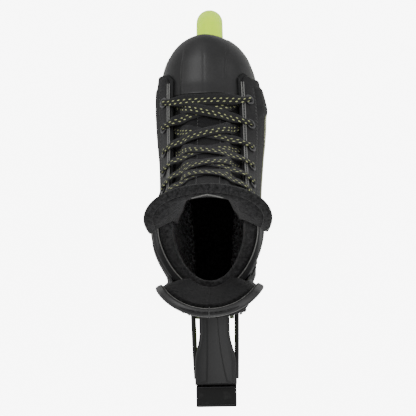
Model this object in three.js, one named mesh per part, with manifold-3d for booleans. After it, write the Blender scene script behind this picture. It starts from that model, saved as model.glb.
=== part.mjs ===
// An inline skate for the right foot: a laced hockey-style boot on a four-wheel frame with a heel brake.
// Millimetres, +Z up, +Y towards the toe, +X the outer (lateral) side. The wheels stand on z = 0 in the
// plane x = 0, and y = 0 is midway between the front of the first wheel and the back of the brake pad.
import * as THREE from "three";
import { mergeVertices } from "three/addons/utils/BufferGeometryUtils.js";
import Module from "manifold-3d";

const wasm = await Module();
wasm.setup();

// ---------------------------------------------------------------- driving dimensions
const gap = 0.3; // between pieces that touch

// wheels and axles
const wheelRadius = 38;
const wheelWidth = 24;
const wheelSpacing = 3; // between one tyre and the next
const wheelCount = 4;
const wheelSides = 20; // facets round a tyre
const crownDepth = 12; // how far the rounded tread reaches in from the rim
const crownFlat = 8; // half angle of the flat strip in the middle of the tread, degrees
const tyreWall = 14; // depth of the urethane over the hub
const hubRim = 3; // wall of the hub under the tyre
const hubBoss = 3.2; // wall of the hub round its bearings
const spokeCount = 5;
const spokeWidth = 6;
const spokeWeb = 12; // width of the spokes across the wheel
const bearingRadius = 11;
const bearingWidth = 7;
const axleRadius = 4;
const runningGap = 0.25; // between the axle and what turns on it
const spacerWall = 1.6;
const axleHeadRadius = 6.5;
const axleHeadLength = 3;
const screwRadius = 2.4;
const hexSocket = 2.6;

// frame
const wheelClear = 1.5; // between a wheel and each rail
const railWall = 4;
const railBoss = 12; // radius of a rail round an axle
const platformWall = 4;
const tyreClear = 3.5; // between the front tyre and the platform over it
const platformHalfWidth = 29;
const frontPlatformReach = { back: 31, front: 36 }; // from its bolt
const platformCorners = [[0, 14], [3, 8], [8.5, 3], [11.5, 0]]; // how far in from its side and its front end
const rearPlatformReach = { back: 45, front: 27 };
const archDrop = 7; // from the top of the wheels to the rails between the platforms
const boltRadius = 2.5;
const boltHead = { radius: 5, length: 2.4 };

// heel brake
const brakeReach = 90; // from the rear axle to the back of the pad
const brakeArmWall = 4;
const brakeArmRadius = 9;
const fenderGap = 3.2; // between the rear tyre and the fender
const fenderSide = 1.2; // how much wider than the tyre the fender is, each side
const padHalfWidth = 17.6;
const padLength = 37;
const padLift = 11; // of the pad above the ground
const padBackRise = 10; // of the top of the pad's back above the axle
const padTopDrop = 2.4; // of the pad's seat below the axle

// boot
const toeFront = 148;
const toeRoot = 100; // where the rounded toe begins
const toeBlunt = 0.93; // 1 for an ellipse, less for a blunter toe
const toeSkew = -4; // the tip lies towards the big toe
const noseHeight = 20; // of the roundest part of the toe above the sole
const soleSlope = 0.04; // rise of the sole towards the heel
const outsoleWall = 4.2;
const quarterWall = 4.1;
const capWall = 3;
const linerWall = 5;
const collarPad = 9; // thickness of the padding at the rim
const trimWall = 1.4; // eyestays and heel counter lie on the quarters
const tongueWall = 6;
const tongueSink = 3.4; // how far the tongue lies under the quarters
const tongueCrown = -3; // its middle stands proud of the last
const footbedWall = 4;
const footbedClear = 4.7; // between the lining and the footbed
const eyeletLevels = [1.75, 2.75, 3.8, 4.75, 5.7, 6.6]; // along the boot, from the toe
const eyeletRadius = 3;
const eyeletSetback = 10; // degrees round the boot from the throat's edge
const laceWidth = 8.4;
const laceWall = 1.2;
const laceNeck = 2.8; // width of the lace where it goes through an eyelet

// ---------------------------------------------------------------- small tools
const rad = THREE.MathUtils.degToRad;
const mix = THREE.MathUtils.lerp;
const lookup = (values, t) => {
  // a smooth curve through values at t = 1, 2, 3 ..., after Catmull and Rom
  const at = THREE.MathUtils.clamp(t - 1, 0, values.length - 1);
  const i = Math.min(Math.floor(at), values.length - 2);
  const f = at - i;
  const [b, c] = [values[i], values[i + 1]];
  const a = i > 0 ? values[i - 1] : 2 * b - c;
  const d = i < values.length - 2 ? values[i + 2] : 2 * c - b;
  return b + 0.5 * f * (c - a + f * (2 * a - 5 * b + 4 * c - d + f * (3 * (b - c) + d - a)));
};
const smooth = (a, b, v) => THREE.MathUtils.smoothstep(v, a, b);
const steps = (from, to, count) =>
  Array.from({ length: count + 1 }, (_, i) => mix(from, to, i / count));

function solidOf(geometry) {
  const bare = (geometry.index ? geometry.toNonIndexed() : geometry).clone();
  bare.deleteAttribute("normal");
  bare.deleteAttribute("uv");
  const merged = mergeVertices(bare, 1e-3);
  const index = merged.index.array;
  const kept = [];
  for (let i = 0; i < index.length; i += 3) {
    const [a, b, c] = [index[i], index[i + 1], index[i + 2]];
    if (a !== b && b !== c && c !== a) kept.push(a, b, c);
  }
  const mesh = new wasm.Mesh({
    numProp: 3,
    vertProperties: merged.attributes.position.array,
    triVerts: new Uint32Array(kept),
  });
  return new wasm.Manifold(mesh);
}

function geometryOf(solid) {
  const mesh = solid.getMesh();
  return new THREE.BufferGeometry()
    .setAttribute("position", new THREE.BufferAttribute(new Float32Array(mesh.vertProperties), 3))
    .setIndex(new THREE.BufferAttribute(new Uint32Array(mesh.triVerts), 1));
}

const cut = (body, ...tools) =>
  geometryOf(tools.reduce((left, tool) => left.subtract(solidOf(tool)), solidOf(body)));
const join = (first, ...others) =>
  geometryOf(others.reduce((all, other) => all.add(solidOf(other)), solidOf(first)));
const common = (a, b) => geometryOf(solidOf(a).intersect(solidOf(b)));

// A closed body between two grids of points of the same size, the outer one facing out.
function shellBetween(outer, inner) {
  const [rows, columns] = [outer.length, outer[0].length];
  const points = [...outer.flat(), ...inner.flat()];
  const at = (layer, i, j) => (layer * rows + i) * columns + j;
  const faces = [];
  const quad = (a, b, c, d) => faces.push(a, b, c, a, c, d);
  for (let i = 0; i < rows - 1; i++)
    for (let j = 0; j < columns - 1; j++) {
      quad(at(0, i, j), at(0, i, j + 1), at(0, i + 1, j + 1), at(0, i + 1, j));
      quad(at(1, i, j), at(1, i + 1, j), at(1, i + 1, j + 1), at(1, i, j + 1));
    }
  for (let i = 0; i < rows - 1; i++) {
    quad(at(0, i, 0), at(0, i + 1, 0), at(1, i + 1, 0), at(1, i, 0));
    const last = columns - 1;
    quad(at(0, i + 1, last), at(0, i, last), at(1, i, last), at(1, i + 1, last));
  }
  for (let j = 0; j < columns - 1; j++) {
    quad(at(0, 0, j + 1), at(0, 0, j), at(1, 0, j), at(1, 0, j + 1));
    const last = rows - 1;
    quad(at(0, last, j), at(0, last, j + 1), at(1, last, j + 1), at(1, last, j));
  }
  const geometry = new THREE.BufferGeometry().setFromPoints(points).setIndex(faces);
  const solid = solidOf(geometry);
  if (solid.volume() > 0) return geometryOf(solid);
  const turned = [];
  for (let i = 0; i < faces.length; i += 3) turned.push(faces[i], faces[i + 2], faces[i + 1]);
  return geometryOf(solidOf(geometry.setIndex(turned)));
}

// An outline in y and z, drawn out along x.
function sideExtrude(shape, from, to) {
  const geometry = new THREE.ExtrudeGeometry(shape, { depth: to - from, bevelEnabled: false, curveSegments: 5 });
  const turn = new THREE.Matrix4().makeBasis(
    new THREE.Vector3(0, 1, 0),
    new THREE.Vector3(0, 0, 1),
    new THREE.Vector3(1, 0, 0),
  );
  return geometry.applyMatrix4(turn).translate(from, 0, 0);
}

// A profile of [radius, x] points turned round the x axis.
function turned(profile, sides, centre) {
  const points = profile.map(([r, x]) => new THREE.Vector2(r, x));
  if (points[0].x > 0) points.push(points[0].clone());
  const lathe = new THREE.LatheGeometry(points, sides, Math.PI / sides);
  // the lathe's own axis is y: lay it along x
  lathe.applyMatrix4(new THREE.Matrix4().makeBasis(
    new THREE.Vector3(0, 1, 0),
    new THREE.Vector3(1, 0, 0),
    new THREE.Vector3(0, 0, -1),
  ));
  const solid = solidOf(lathe);
  const right = solid.volume() > 0 ? geometryOf(solid) : geometryOf(solidOf(flipped(lathe)));
  return centre ? right.translate(centre.x ?? 0, centre.y, centre.z) : right;
}

function flipped(geometry) {
  const flat = geometry.index ? geometry.toNonIndexed() : geometry.clone();
  const p = flat.attributes.position;
  for (let i = 0; i < p.count; i += 3) {
    const b = [p.getX(i + 1), p.getY(i + 1), p.getZ(i + 1)];
    p.setXYZ(i + 1, p.getX(i + 2), p.getY(i + 2), p.getZ(i + 2));
    p.setXYZ(i + 2, ...b);
  }
  return flat;
}

// A peg along x, from one x to another, for holes and shanks.
const peg = (radius, from, to, y, z, sides = 10) =>
  turned([[0, from], [radius, from], [radius, to], [0, to]], sides, { y, z });

// ---------------------------------------------------------------- places that follow from the dimensions
const hubRadius = wheelRadius - tyreWall;
const railGap = wheelWidth + 2 * wheelClear;
const archHeight = 2 * wheelRadius - archDrop;
const fenderHalfWidth = wheelWidth / 2 + fenderSide;
const soleTop = 2 * wheelRadius + tyreClear + platformWall + gap + outsoleWall; // of the outsole, at the toe
const wheelPitch = 2 * wheelRadius + wheelSpacing;
const wheelBase = wheelPitch * (wheelCount - 1);
const frontAxle = (wheelBase + brakeReach - wheelRadius) / 2;
const axles = steps(frontAxle, frontAxle - wheelBase, wheelCount - 1);
const rearAxle = axles[wheelCount - 1];
// one bolt through each platform, between two wheels
const boltPlaces = [["front", (axles[0] + axles[1]) / 2], ["rear", (axles[2] + axles[3]) / 2]];
const [frontPlatform, rearPlatform] = [frontPlatformReach, rearPlatformReach].map(({ back, front }, i) => (
  { from: boltPlaces[i][1] - back, to: boltPlaces[i][1] + front, halfWidth: platformHalfWidth }));
const railInside = railGap / 2;
const railOutside = railInside + railWall;
const armInside = railOutside + gap + 0.2;
const armOutside = armInside + brakeArmWall;
const padBack = rearAxle - brakeReach;
const padTop = wheelRadius - padTopDrop;
const padBackTop = wheelRadius + padBackRise;
const padScrewPlace = padBack + padLength / 2 + 4;
const padScrewHead = padLift + 7.6; // underside of the screw's head in the pad
const solePlane = (y) => soleTop + soleSlope * (toeFront - y); // top of the outsole
const frameTop = (y) => solePlane(y) - outsoleWall - gap;
const quarterOutside = -quarterWall - 0.4; // insets are measured in from the last's surface
const quarterInside = quarterOutside + quarterWall;
const trimOutside = quarterOutside - gap - trimWall;

// ---------------------------------------------------------------- the boot's form
// Sections fan from the toe round the instep to the rim. Each runs from a back point, on the sole, the heel or
// the calf, to a front point on the instep, each as [y, height above soleTop], and has a width near each of the
// two, on the inner and outer side.
const underLast = -quarterOutside + gap;
const onSole = (y) => [y, solePlane(y) - soleTop + underLast];
const sections = [
  { back: onSole(toeRoot), front: [100, 54], inner: [41.5, 41.5], outer: [40, 40], waist: 0.34, square: 0.45 },
  { back: onSole(76), front: [80, 64], inner: [42, 42], outer: [44.5, 45], waist: 0.34, square: 0.45 },
  { back: onSole(46), front: [58, 80], inner: [39, 42], outer: [42.5, 46], waist: 0.36, square: 0.45 },
  { back: onSole(14), front: [40, 99], inner: [34, 42.5], outer: [37, 46], waist: 0.42, square: 0.46 },
  { back: onSole(-22), front: [25, 122], inner: [31, 43], outer: [33, 45], waist: 0.46, square: 0.5 },
  { back: onSole(-58), front: [13, 144], inner: [30, 43], outer: [31, 44], waist: 0.5, square: 0.54 },
  { back: [-88, 18], front: [5, 162], inner: [30, 42], outer: [30, 42], waist: 0.52, square: 0.72 },
  { back: [-97.5, 52], front: [0, 174], inner: [31, 41], outer: [31, 41], waist: 0.53, square: 0.9 },
  { back: [-92, 90], front: [-3, 182], inner: [32, 41], outer: [32, 41], waist: 0.55, square: 1 },
  { back: [-85, 122], front: [-5, 188], inner: [34, 43], outer: [34, 42], waist: 0.58, square: 1 },
  { back: [-84, 150], front: [-6, 193], inner: [36, 46], outer: [36, 44], waist: 0.6, square: 1 },
];
const rim = sections.length; // t runs from 0 at the tip of the toe through 1, 2, 3 ... to the rim
const column = (pick, t) => lookup(sections.map(pick), t);

function sectionAt(t) {
  const at = Math.max(t, 1);
  const section = {
    back: [column((s) => s.back[0], at), soleTop + column((s) => s.back[1], at)],
    front: [column((s) => s.front[0], at), soleTop + column((s) => s.front[1], at)],
    inner: [column((s) => s.inner[0], at), column((s) => s.inner[1], at)],
    outer: [column((s) => s.outer[0], at), column((s) => s.outer[1], at)],
    waist: column((s) => s.waist, at),
    square: column((s) => s.square, at),
    skew: 0,
    fill: 1,
  };
  if (t >= 1) return section;
  // the rounded toe: the first section shrinks along an ellipse to the tip
  const turn = (1 - t) * Math.PI / 2;
  section.fill = Math.cos(turn) ** toeBlunt;
  section.skew = toeSkew * (1 - section.fill);
  section.forward = Math.sin(turn) ** toeBlunt;
  return section;
}

// The point at t along the boot and at an angle round it, from 0 on the instep to 180 on the sole or the heel,
// negative on the inner side, and so far in from the surface.
function bootPoint(t, round, inset = 0) {
  const degrees = round > 180 ? round - 360 : round;
  const s = sectionAt(t);
  const angle = rad(Math.abs(degrees));
  const widths = degrees < 0 ? s.inner : s.outer;
  let [by, bz] = s.back;
  let [fy, fz] = s.front;
  if (t < 1) {
    const reach = (toeFront - toeRoot - inset) * s.forward;
    const nose = bz + noseHeight;
    bz -= (underLast - gap) * (1 - smooth(0.8, 0.97, t)); // no quarter lies under the toe
    by += reach;
    fy += reach;
    bz = nose + (bz - nose) * s.fill ** 0.5;
    fz = nose + (fz - nose) * s.fill ** 0.62;
  }
  const length = Math.hypot(fy - by, fz - bz);
  const [uy, uz] = length > 1e-9 ? [(fy - by) / length, (fz - bz) / length] : [0, 1];
  const shrink = t < 1 ? inset * s.fill : inset;
  const [lo, hi] = [shrink, length - shrink];
  const [c, e] = [Math.cos(angle), Math.sin(angle)];
  const lower = c < 0;
  const power = lower ? s.square : 1;
  const share = s.waist + (lower ? -s.waist * (-c) ** power : (1 - s.waist) * c);
  const width = mix(widths[0], widths[1], share) * s.fill - shrink;
  const x = Math.sign(degrees || 1) * Math.max(width, 0) * e ** power + s.skew;
  const along = mix(lo, hi, share);
  return new THREE.Vector3(x, by + uy * along, bz + uz * along);
}

function bootNormal(t, degrees, inset) {
  const d = 0.02;
  const p = bootPoint(t, degrees, inset);
  const outward = bootPoint(t, degrees, inset - 1).sub(p);
  const a = bootPoint(t + d, degrees, inset).sub(bootPoint(t - d, degrees, inset));
  const b = bootPoint(t, degrees + 1, inset).sub(bootPoint(t, degrees - 1, inset));
  const n = a.cross(b).normalize();
  return n.dot(outward) < 0 ? n.negate() : n;
}

// the edge of the throat, as an angle round the boot
const throatGap = { inner: [33, 34], outer: [27, 34] }; // half width at the toe end and at the rim
function throatAngle(t, side) {
  const share = (t - 1) / (rim - 1);
  const [half, widths] = side < 0
    ? [mix(...throatGap.inner, share), sectionAt(t).inner]
    : [mix(...throatGap.outer, share), sectionAt(t).outer];
  return THREE.MathUtils.radToDeg(Math.asin(Math.min(half / (widths[1] - quarterOutside), 0.9)));
}

// Every patch of the boot uses the same rows along it and columns round it, so the facets of two layers lie
// parallel. Rows past rimStart are spread between it and the rim, which is lower in front than at the sides.
const rimStart = 9.1;
const rowStations = [0, 0.12, 0.28, 0.46, 0.66, 0.84, 1, 1.45, 2, 2.7, 3.4, 4.1, 4.8, 5.5, 6.2, 7.05, 7.8, 8.5,
  rimStart, rimStart + 0.5, rimStart + 1];
const rimAt = (degrees) => mix(9.45, 10.7, smooth(42, 80, degrees));
const onRim = (t, degrees) => (t <= rimStart ? t : rimStart + (rimAt(degrees) - rimStart) * (t - rimStart));

// Columns run from 0 at the throat's edge over 2, where the lining begins, to 7 just short of the sole or back.
const facingWidth = 21; // degrees from the throat's edge to column 2
const seamAngle = 179.6;
function columnAngle(k, t, side) {
  const throat = throatAngle(t, side);
  return k <= 2 ? throat + facingWidth * k / 2 : mix(throat + facingWidth, seamAngle, (k - 2) / 5);
}
// Columns always follow one another the same way round, so that all quads are split along the same diagonal.
const inTurn = (side, columns) => (side < 0 ? columns.reverse() : columns);
const oneSide = (side, from, to) =>
  inTurn(side, steps(from, to, Math.round(to - from)).map((k) => [side, k]));
const bothSides = (from) => [...oneSide(1, from, 6), [1, 8], ...oneSide(-1, from, 6)];

// A patch of the boot between two t, on columns of [side, k], and between two insets, which may be functions of t.
function patch({ t, columns, insets }) {
  const rows = [t[0], ...rowStations.filter((s) => s > t[0] + 0.02 && s < t[1] - 0.02), t[1]];
  const grid = (inset) => rows.map((row) => columns.map(([side, k]) => {
    const degrees = k > 7 ? 180 : columnAngle(k, row, side);
    const depth = typeof inset === "function" ? inset(row) : inset;
    return bootPoint(onRim(row, degrees), side * degrees, depth);
  }));
  return shellBetween(grid(insets[0]), grid(insets[1]));
}

// ---------------------------------------------------------------- materials
const finish = (color, roughness, metalness = 0) =>
  new THREE.MeshStandardMaterial({ color, roughness, metalness });
const looks = {
  urethane: finish(0xb9e01c, 0.32),
  hub: finish(0x1c1c1c, 0.45),
  steel: finish(0xa8abae, 0.25, 1),
  composite: finish(0x1d1d1d, 0.5),
  rubber: finish(0x191919, 0.85),
  moulding: finish(0x2a2a2a, 0.4),
  leather: finish(0x242424, 0.6),
  felt: finish(0x1f1f20, 0.95),
  lining: finish(0x101010, 0.95),
  lace: finish(0x2b2b2c, 0.9),
};

const skate = new THREE.Group();
skate.name = "inline_skate";
function add(name, geometry, look, place) {
  const mesh = new THREE.Mesh(geometry, looks[look]);
  mesh.name = name;
  if (place) mesh.position.copy(place);
  skate.add(mesh);
  return mesh;
}

// ---------------------------------------------------------------- wheels
function tyre() {
  const stretch = 1 / Math.cos(Math.PI / wheelSides); // so that a facet, and not a corner, touches the ground
  const half = wheelWidth / 2;
  const crown = [-90, -52, -24, -crownFlat, crownFlat, 24, 52, 90].map((a) => [
    (wheelRadius - crownDepth * (1 - Math.cos(rad(a)) / Math.cos(rad(crownFlat)))) * stretch,
    half * Math.sin(rad(a)),
  ]);
  const bore = hubRadius / Math.cos(Math.PI / wheelSides) + gap;
  return turned([[bore, -half + 2.5], ...crown, [bore, half - 2.5]], wheelSides);
}

function hub() {
  const half = wheelWidth / 2;
  const seat = bearingRadius / Math.cos(Math.PI / 15) + gap;
  const boss = bearingRadius + hubBoss;
  const rimInside = hubRadius - hubRim;
  const shoulder = bearingRadius - 2.5; // the wall between the bearings
  const inner = half - bearingWidth - gap;
  const flank = half - 2.5;
  const ring = turned([[rimInside, -flank], [hubRadius, -flank], [hubRadius, flank], [rimInside, flank]], wheelSides);
  const core = turned([
    [shoulder, -inner], [seat, -inner], [seat, -half], [boss, -half],
    [boss, half], [seat, half], [seat, inner], [shoulder, inner],
  ], 15);
  const spokes = steps(0, 360, spokeCount).slice(1).map((turn) =>
    new THREE.BoxGeometry(spokeWeb, spokeWidth, hubRadius - boss - hubRim + 3)
      .translate(0, 0, (boss + rimInside) / 2)
      .rotateX(rad(turn)));
  return join(ring, core, ...spokes);
}

function bearing() {
  const bore = axleRadius + runningGap;
  const half = bearingWidth / 2;
  return turned([[bore, -half], [bearingRadius, -half], [bearingRadius, half], [bore, half]], 12);
}

function axleSpacer() {
  const half = wheelWidth / 2 - bearingWidth - gap;
  const bore = axleRadius + runningGap;
  return turned([[bore, -half], [bore + spacerWall, -half], [bore + spacerWall, half], [bore, half]], 10);
}

// The axle's head is on the inner side of the skate and its screw comes from the outer side.
function axle(grip) {
  const end = grip - 1;
  const head = -grip - gap;
  const body = turned([
    [0, head - axleHeadLength], [axleHeadRadius - 1, head - axleHeadLength],
    [axleHeadRadius, head - axleHeadLength + 1],
    [axleHeadRadius, head], [axleRadius, head], [axleRadius, end], [0, end],
  ], 12);
  const thread = peg(screwRadius + gap, 0, end + 1, 0, 0, 10);
  const socket = peg(hexSocket, head - axleHeadLength - 1, head, 0, 0, 6);
  return cut(body, thread, socket);
}

function axleScrew(grip) {
  const head = grip + gap;
  const body = turned([
    [0, 1.5], [screwRadius, 1.5], [screwRadius, head], [axleHeadRadius, head],
    [axleHeadRadius, head + axleHeadLength - 1], [axleHeadRadius - 1, head + axleHeadLength], [0, head + axleHeadLength],
  ], 12);
  return cut(body, peg(hexSocket, head + 0.5, head + axleHeadLength + 1, 0, 0, 6));
}

axles.forEach((y, i) => {
  const centre = new THREE.Vector3(0, y, wheelRadius);
  const number = i + 1;
  const grip = number === wheelCount ? armOutside : railOutside;
  add(`wheel_${number}_tyre`, tyre(), "urethane", centre);
  add(`wheel_${number}_hub`, hub(), "hub", centre);
  for (const [side, word] of [[-1, "inner"], [1, "outer"]]) {
    const place = centre.clone().setX(side * (wheelWidth - bearingWidth) / 2);
    add(`wheel_${number}_bearing_${word}`, bearing(), "steel", place);
  }
  add(`wheel_${number}_spacer`, axleSpacer(), "steel", centre);
  add(`axle_${number}`, axle(grip), "steel", centre);
  add(`axle_screw_${number}`, axleScrew(grip), "steel", centre);
});

// ---------------------------------------------------------------- frame
function railShape() {
  const shape = new THREE.Shape();
  const z = wheelRadius;
  const boss = railBoss;
  const front = frontPlatform;
  const rear = rearPlatform;
  shape.moveTo(axles[0] + boss, z);
  shape.lineTo(axles[0] + boss - 1, z + 10);
  shape.quadraticCurveTo(axles[0] + 6, z + 34, front.to, frameTop(front.to) - platformWall);
  shape.lineTo(front.to, frameTop(front.to));
  shape.lineTo(front.from, frameTop(front.from));
  shape.quadraticCurveTo(front.from - 10, archHeight, front.from - 26, archHeight);
  shape.lineTo(rear.to + 24, archHeight);
  shape.quadraticCurveTo(rear.to + 10, archHeight + 2, rear.to, frameTop(rear.to));
  shape.lineTo(rear.from, frameTop(rear.from));
  shape.lineTo(rear.from, frameTop(rear.from) - platformWall);
  shape.quadraticCurveTo(rearAxle - boss + 2, z + 30, rearAxle - boss, z);
  // along the bottom: round each axle and up between the wheels
  [...axles].reverse().forEach((y, i) => {
    shape.absarc(y, z, boss, Math.PI, 2 * Math.PI, false);
    if (i < wheelCount - 1) shape.quadraticCurveTo(y + wheelPitch / 2, z + 20, y + wheelPitch - boss, z);
  });
  return shape;
}

function windowShape(middle, halfWidth, low, high) {
  const r = 4;
  const shape = new THREE.Shape();
  shape.moveTo(middle - halfWidth + r, low);
  shape.lineTo(middle + halfWidth - r, low);
  shape.quadraticCurveTo(middle + halfWidth, low, middle + halfWidth - 2, low + r);
  shape.lineTo(middle + halfWidth * 0.6, high - r);
  shape.quadraticCurveTo(middle + halfWidth * 0.55, high, middle + halfWidth * 0.4, high);
  shape.lineTo(middle - halfWidth * 0.4, high);
  shape.quadraticCurveTo(middle - halfWidth * 0.55, high, middle - halfWidth * 0.6, high - r);
  shape.lineTo(middle - halfWidth + 2, low + r);
  shape.quadraticCurveTo(middle - halfWidth, low, middle - halfWidth + r, low);
  return shape;
}

// a slab under the sole, following its slope
function slab(from, to, halfWidth, top, bottom) {
  const shape = new THREE.Shape([
    new THREE.Vector2(from, top(from)), new THREE.Vector2(from, bottom(from)),
    new THREE.Vector2(to, bottom(to)), new THREE.Vector2(to, top(to)),
  ]);
  return sideExtrude(shape, -halfWidth, halfWidth);
}

// what is cut from a front corner of a platform, so that the sole covers it
function cornerCut({ to, halfWidth }, side) {
  const edge = platformCorners.map(([across, back]) => new THREE.Vector2(side * (halfWidth - across), to - back));
  const beyond = [new THREE.Vector2(edge.at(-1).x, to + 1), new THREE.Vector2(side * (halfWidth + 1), to + 1),
    new THREE.Vector2(side * (halfWidth + 1), edge[0].y)];
  const high = new THREE.ExtrudeGeometry(new THREE.Shape([...edge, ...beyond]), { depth: 20, bevelEnabled: false });
  return high.translate(0, 0, frameTop(to) - 10);
}

const slopeAngle = Math.atan(soleSlope);

// something turned round z, set square to the sole at a bolt's place, with z = 0 at the frame's top
function atBolt(geometry, y) {
  return geometry.rotateX(Math.PI / 2).rotateX(-slopeAngle).translate(0, y, frameTop(y));
}

function frame() {
  const under = (y) => frameTop(y) - platformWall;
  const rails = [-railOutside, railInside].map((x) => sideExtrude(railShape(), x, x + railWall));
  const [frontPlate, rearPlate] = [frontPlatform, rearPlatform].map((p) => (
    slab(p.from, p.to, p.halfWidth, frameTop, under)));
  const plates = [cut(frontPlate, cornerCut(frontPlatform, -1), cornerCut(frontPlatform, 1)), rearPlate];
  const middle = (axles[1] + axles[2]) / 2;
  const web = slab(middle - 6, middle + 6, railInside + 1, () => archHeight, () => archHeight - 5);
  const bosses = axles.flatMap((y) => [-1, 1].map((side) => {
    const face = side * (wheelWidth / 2 + 0.4);
    const wall = side * (railInside + 1);
    return peg(axleRadius + 2.2, Math.min(face, wall), Math.max(face, wall), y, wheelRadius);
  }));
  const holes = axles.map((y) => peg(axleRadius + gap, -railOutside - 1, railOutside + 1, y, wheelRadius));
  const windows = boltPlaces.map(([, y]) =>
    sideExtrude(windowShape(y, 17, wheelRadius + 16, archHeight + 1), -railOutside - 1, railOutside + 1));
  const sockets = boltPlaces.map(([, y]) =>
    atBolt(new THREE.CylinderGeometry(boltRadius + gap, boltRadius + gap, 20, 12), y));
  return cut(join(...rails, ...plates, web, ...bosses), ...holes, ...windows, ...sockets);
}
add("frame", frame(), "composite");

for (const [word, y] of boltPlaces) {
  const head = boltHead;
  const shank = platformWall + outsoleWall;
  const points = [
    [0, -platformWall - gap - head.length], [head.radius - 0.8, -platformWall - gap - head.length],
    [head.radius, -platformWall - gap - head.length + 0.8], [head.radius, -platformWall - gap],
    [boltRadius, -platformWall - gap], [boltRadius, shank - platformWall - gap], [0, shank - platformWall - gap],
  ].map(([r, z]) => new THREE.Vector2(r, z));
  add(`mount_bolt_${word}`, atBolt(new THREE.LatheGeometry(points, 12), y), "steel");
}

// ---------------------------------------------------------------- heel brake
function brakeHousing() {
  const z = wheelRadius;
  const clear = wheelRadius + fenderGap;
  const wall = 3.5;
  const fenderFront = rearAxle - 6;
  const blockFront = rearAxle - wheelRadius - 2;
  const blockBack = padBack + 19.5;
  const [ridgeFront, ridgeBack] = [2 * wheelRadius + 8, wheelRadius + 15];
  const ridge = (y) => mix(ridgeFront, ridgeBack,
    0.25 * smooth(fenderFront, blockBack, y) + 0.75 * (fenderFront - y) / (fenderFront - blockBack));
  const top = new THREE.Shape();
  top.moveTo(fenderFront, ridge(fenderFront) - 1);
  for (const y of steps(fenderFront, blockBack, 7)) top.lineTo(y, ridge(y));
  top.lineTo(blockBack, z);
  top.lineTo(blockFront - 10, z - 2);
  top.lineTo(blockFront - 2, z + 6);
  const lap = Math.asin(8 / clear);
  top.absarc(rearAxle, z, clear, Math.PI - lap, Math.PI / 2 + 0.15, true);
  const fender = sideExtrude(top, -fenderHalfWidth - 6, fenderHalfWidth + 6);
  const plan = new THREE.Shape([
    [-fenderHalfWidth, fenderFront + 1], [fenderHalfWidth, fenderFront + 1], [fenderHalfWidth, rearAxle - 16],
    [fenderHalfWidth + 0.8, rearAxle - 26], [padHalfWidth - 1, blockFront + 1], [padHalfWidth + 1, blockBack],
    [-padHalfWidth - 1, blockBack], [-padHalfWidth + 1, blockFront + 1], [-fenderHalfWidth - 0.8, rearAxle - 26],
    [-fenderHalfWidth, rearAxle - 16],
  ].map(([x, y]) => new THREE.Vector2(x, y)));
  const column = new THREE.ExtrudeGeometry(plan, { depth: 120, bevelEnabled: false });
  const body = common(fender, column);
  const arm = new THREE.Shape();
  arm.moveTo(rearAxle, z + brakeArmRadius);
  arm.absarc(rearAxle, z, brakeArmRadius, Math.PI / 2, -Math.PI / 2, true);
  arm.lineTo(blockFront - 3, z - 5);
  arm.lineTo(blockFront - 12, z);
  arm.lineTo(blockBack + 6, z + 2);
  arm.lineTo(blockBack + 6, z + 11);
  arm.lineTo(blockFront, z + 15);
  const arms = [-armOutside, armInside].map((x) => sideExtrude(arm, x, x + brakeArmWall));
  const yoke = slab(blockBack + 4, blockFront - 1, armInside + 1, () => z + 13, () => z + 3);
  const holes = peg(axleRadius + gap, -armOutside - 1, armOutside + 1, rearAxle, z);
  const screwHole = new THREE.CylinderGeometry(boltRadius + gap, boltRadius + gap, 12, 14)
    .rotateX(Math.PI / 2).translate(0, padScrewPlace, z + 3);
  return cut(join(body, ...arms, yoke), holes, screwHole);
}
add("brake_housing", brakeHousing(), "moulding");

function brakePad() {
  const [back, front] = [padBack, padBack + padLength];
  const shape = new THREE.Shape([
    [front - 2, padLift], [back + 6, padLift], [back, padLift + 7], [back, padBackTop - 2],
    [back + 2, padBackTop], [back + 18.8, padBackTop], [back + 18.8, padTop - 0.1],
    [front - 9, padTop - 0.1], [front, padTop - 4],
  ].map(([y, z]) => new THREE.Vector2(y, z)));
  const hole = new THREE.CylinderGeometry(boltRadius + gap, boltRadius + gap, 60, 14)
    .rotateX(Math.PI / 2).translate(0, padScrewPlace, padLift + 20);
  const recess = new THREE.CylinderGeometry(boltHead.radius + 0.6, boltHead.radius + 0.6, 20, 14)
    .rotateX(Math.PI / 2).translate(0, padScrewPlace, padLift);
  return cut(sideExtrude(shape, -padHalfWidth, padHalfWidth), hole, recess);
}
add("brake_pad", brakePad(), "rubber");

function brakeScrew() {
  const head = boltHead.length - 0.3;
  const length = wheelRadius + 1.6 - padScrewHead;
  const points = [
    [0, 0], [boltHead.radius, 0], [boltHead.radius, head], [boltRadius, head], [boltRadius, length], [0, length],
  ].map(([r, z]) => new THREE.Vector2(r, z));
  return new THREE.LatheGeometry(points, 14).rotateX(Math.PI / 2).translate(0, padScrewPlace, padScrewHead);
}
add("brake_screw", brakeScrew(), "steel");

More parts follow.
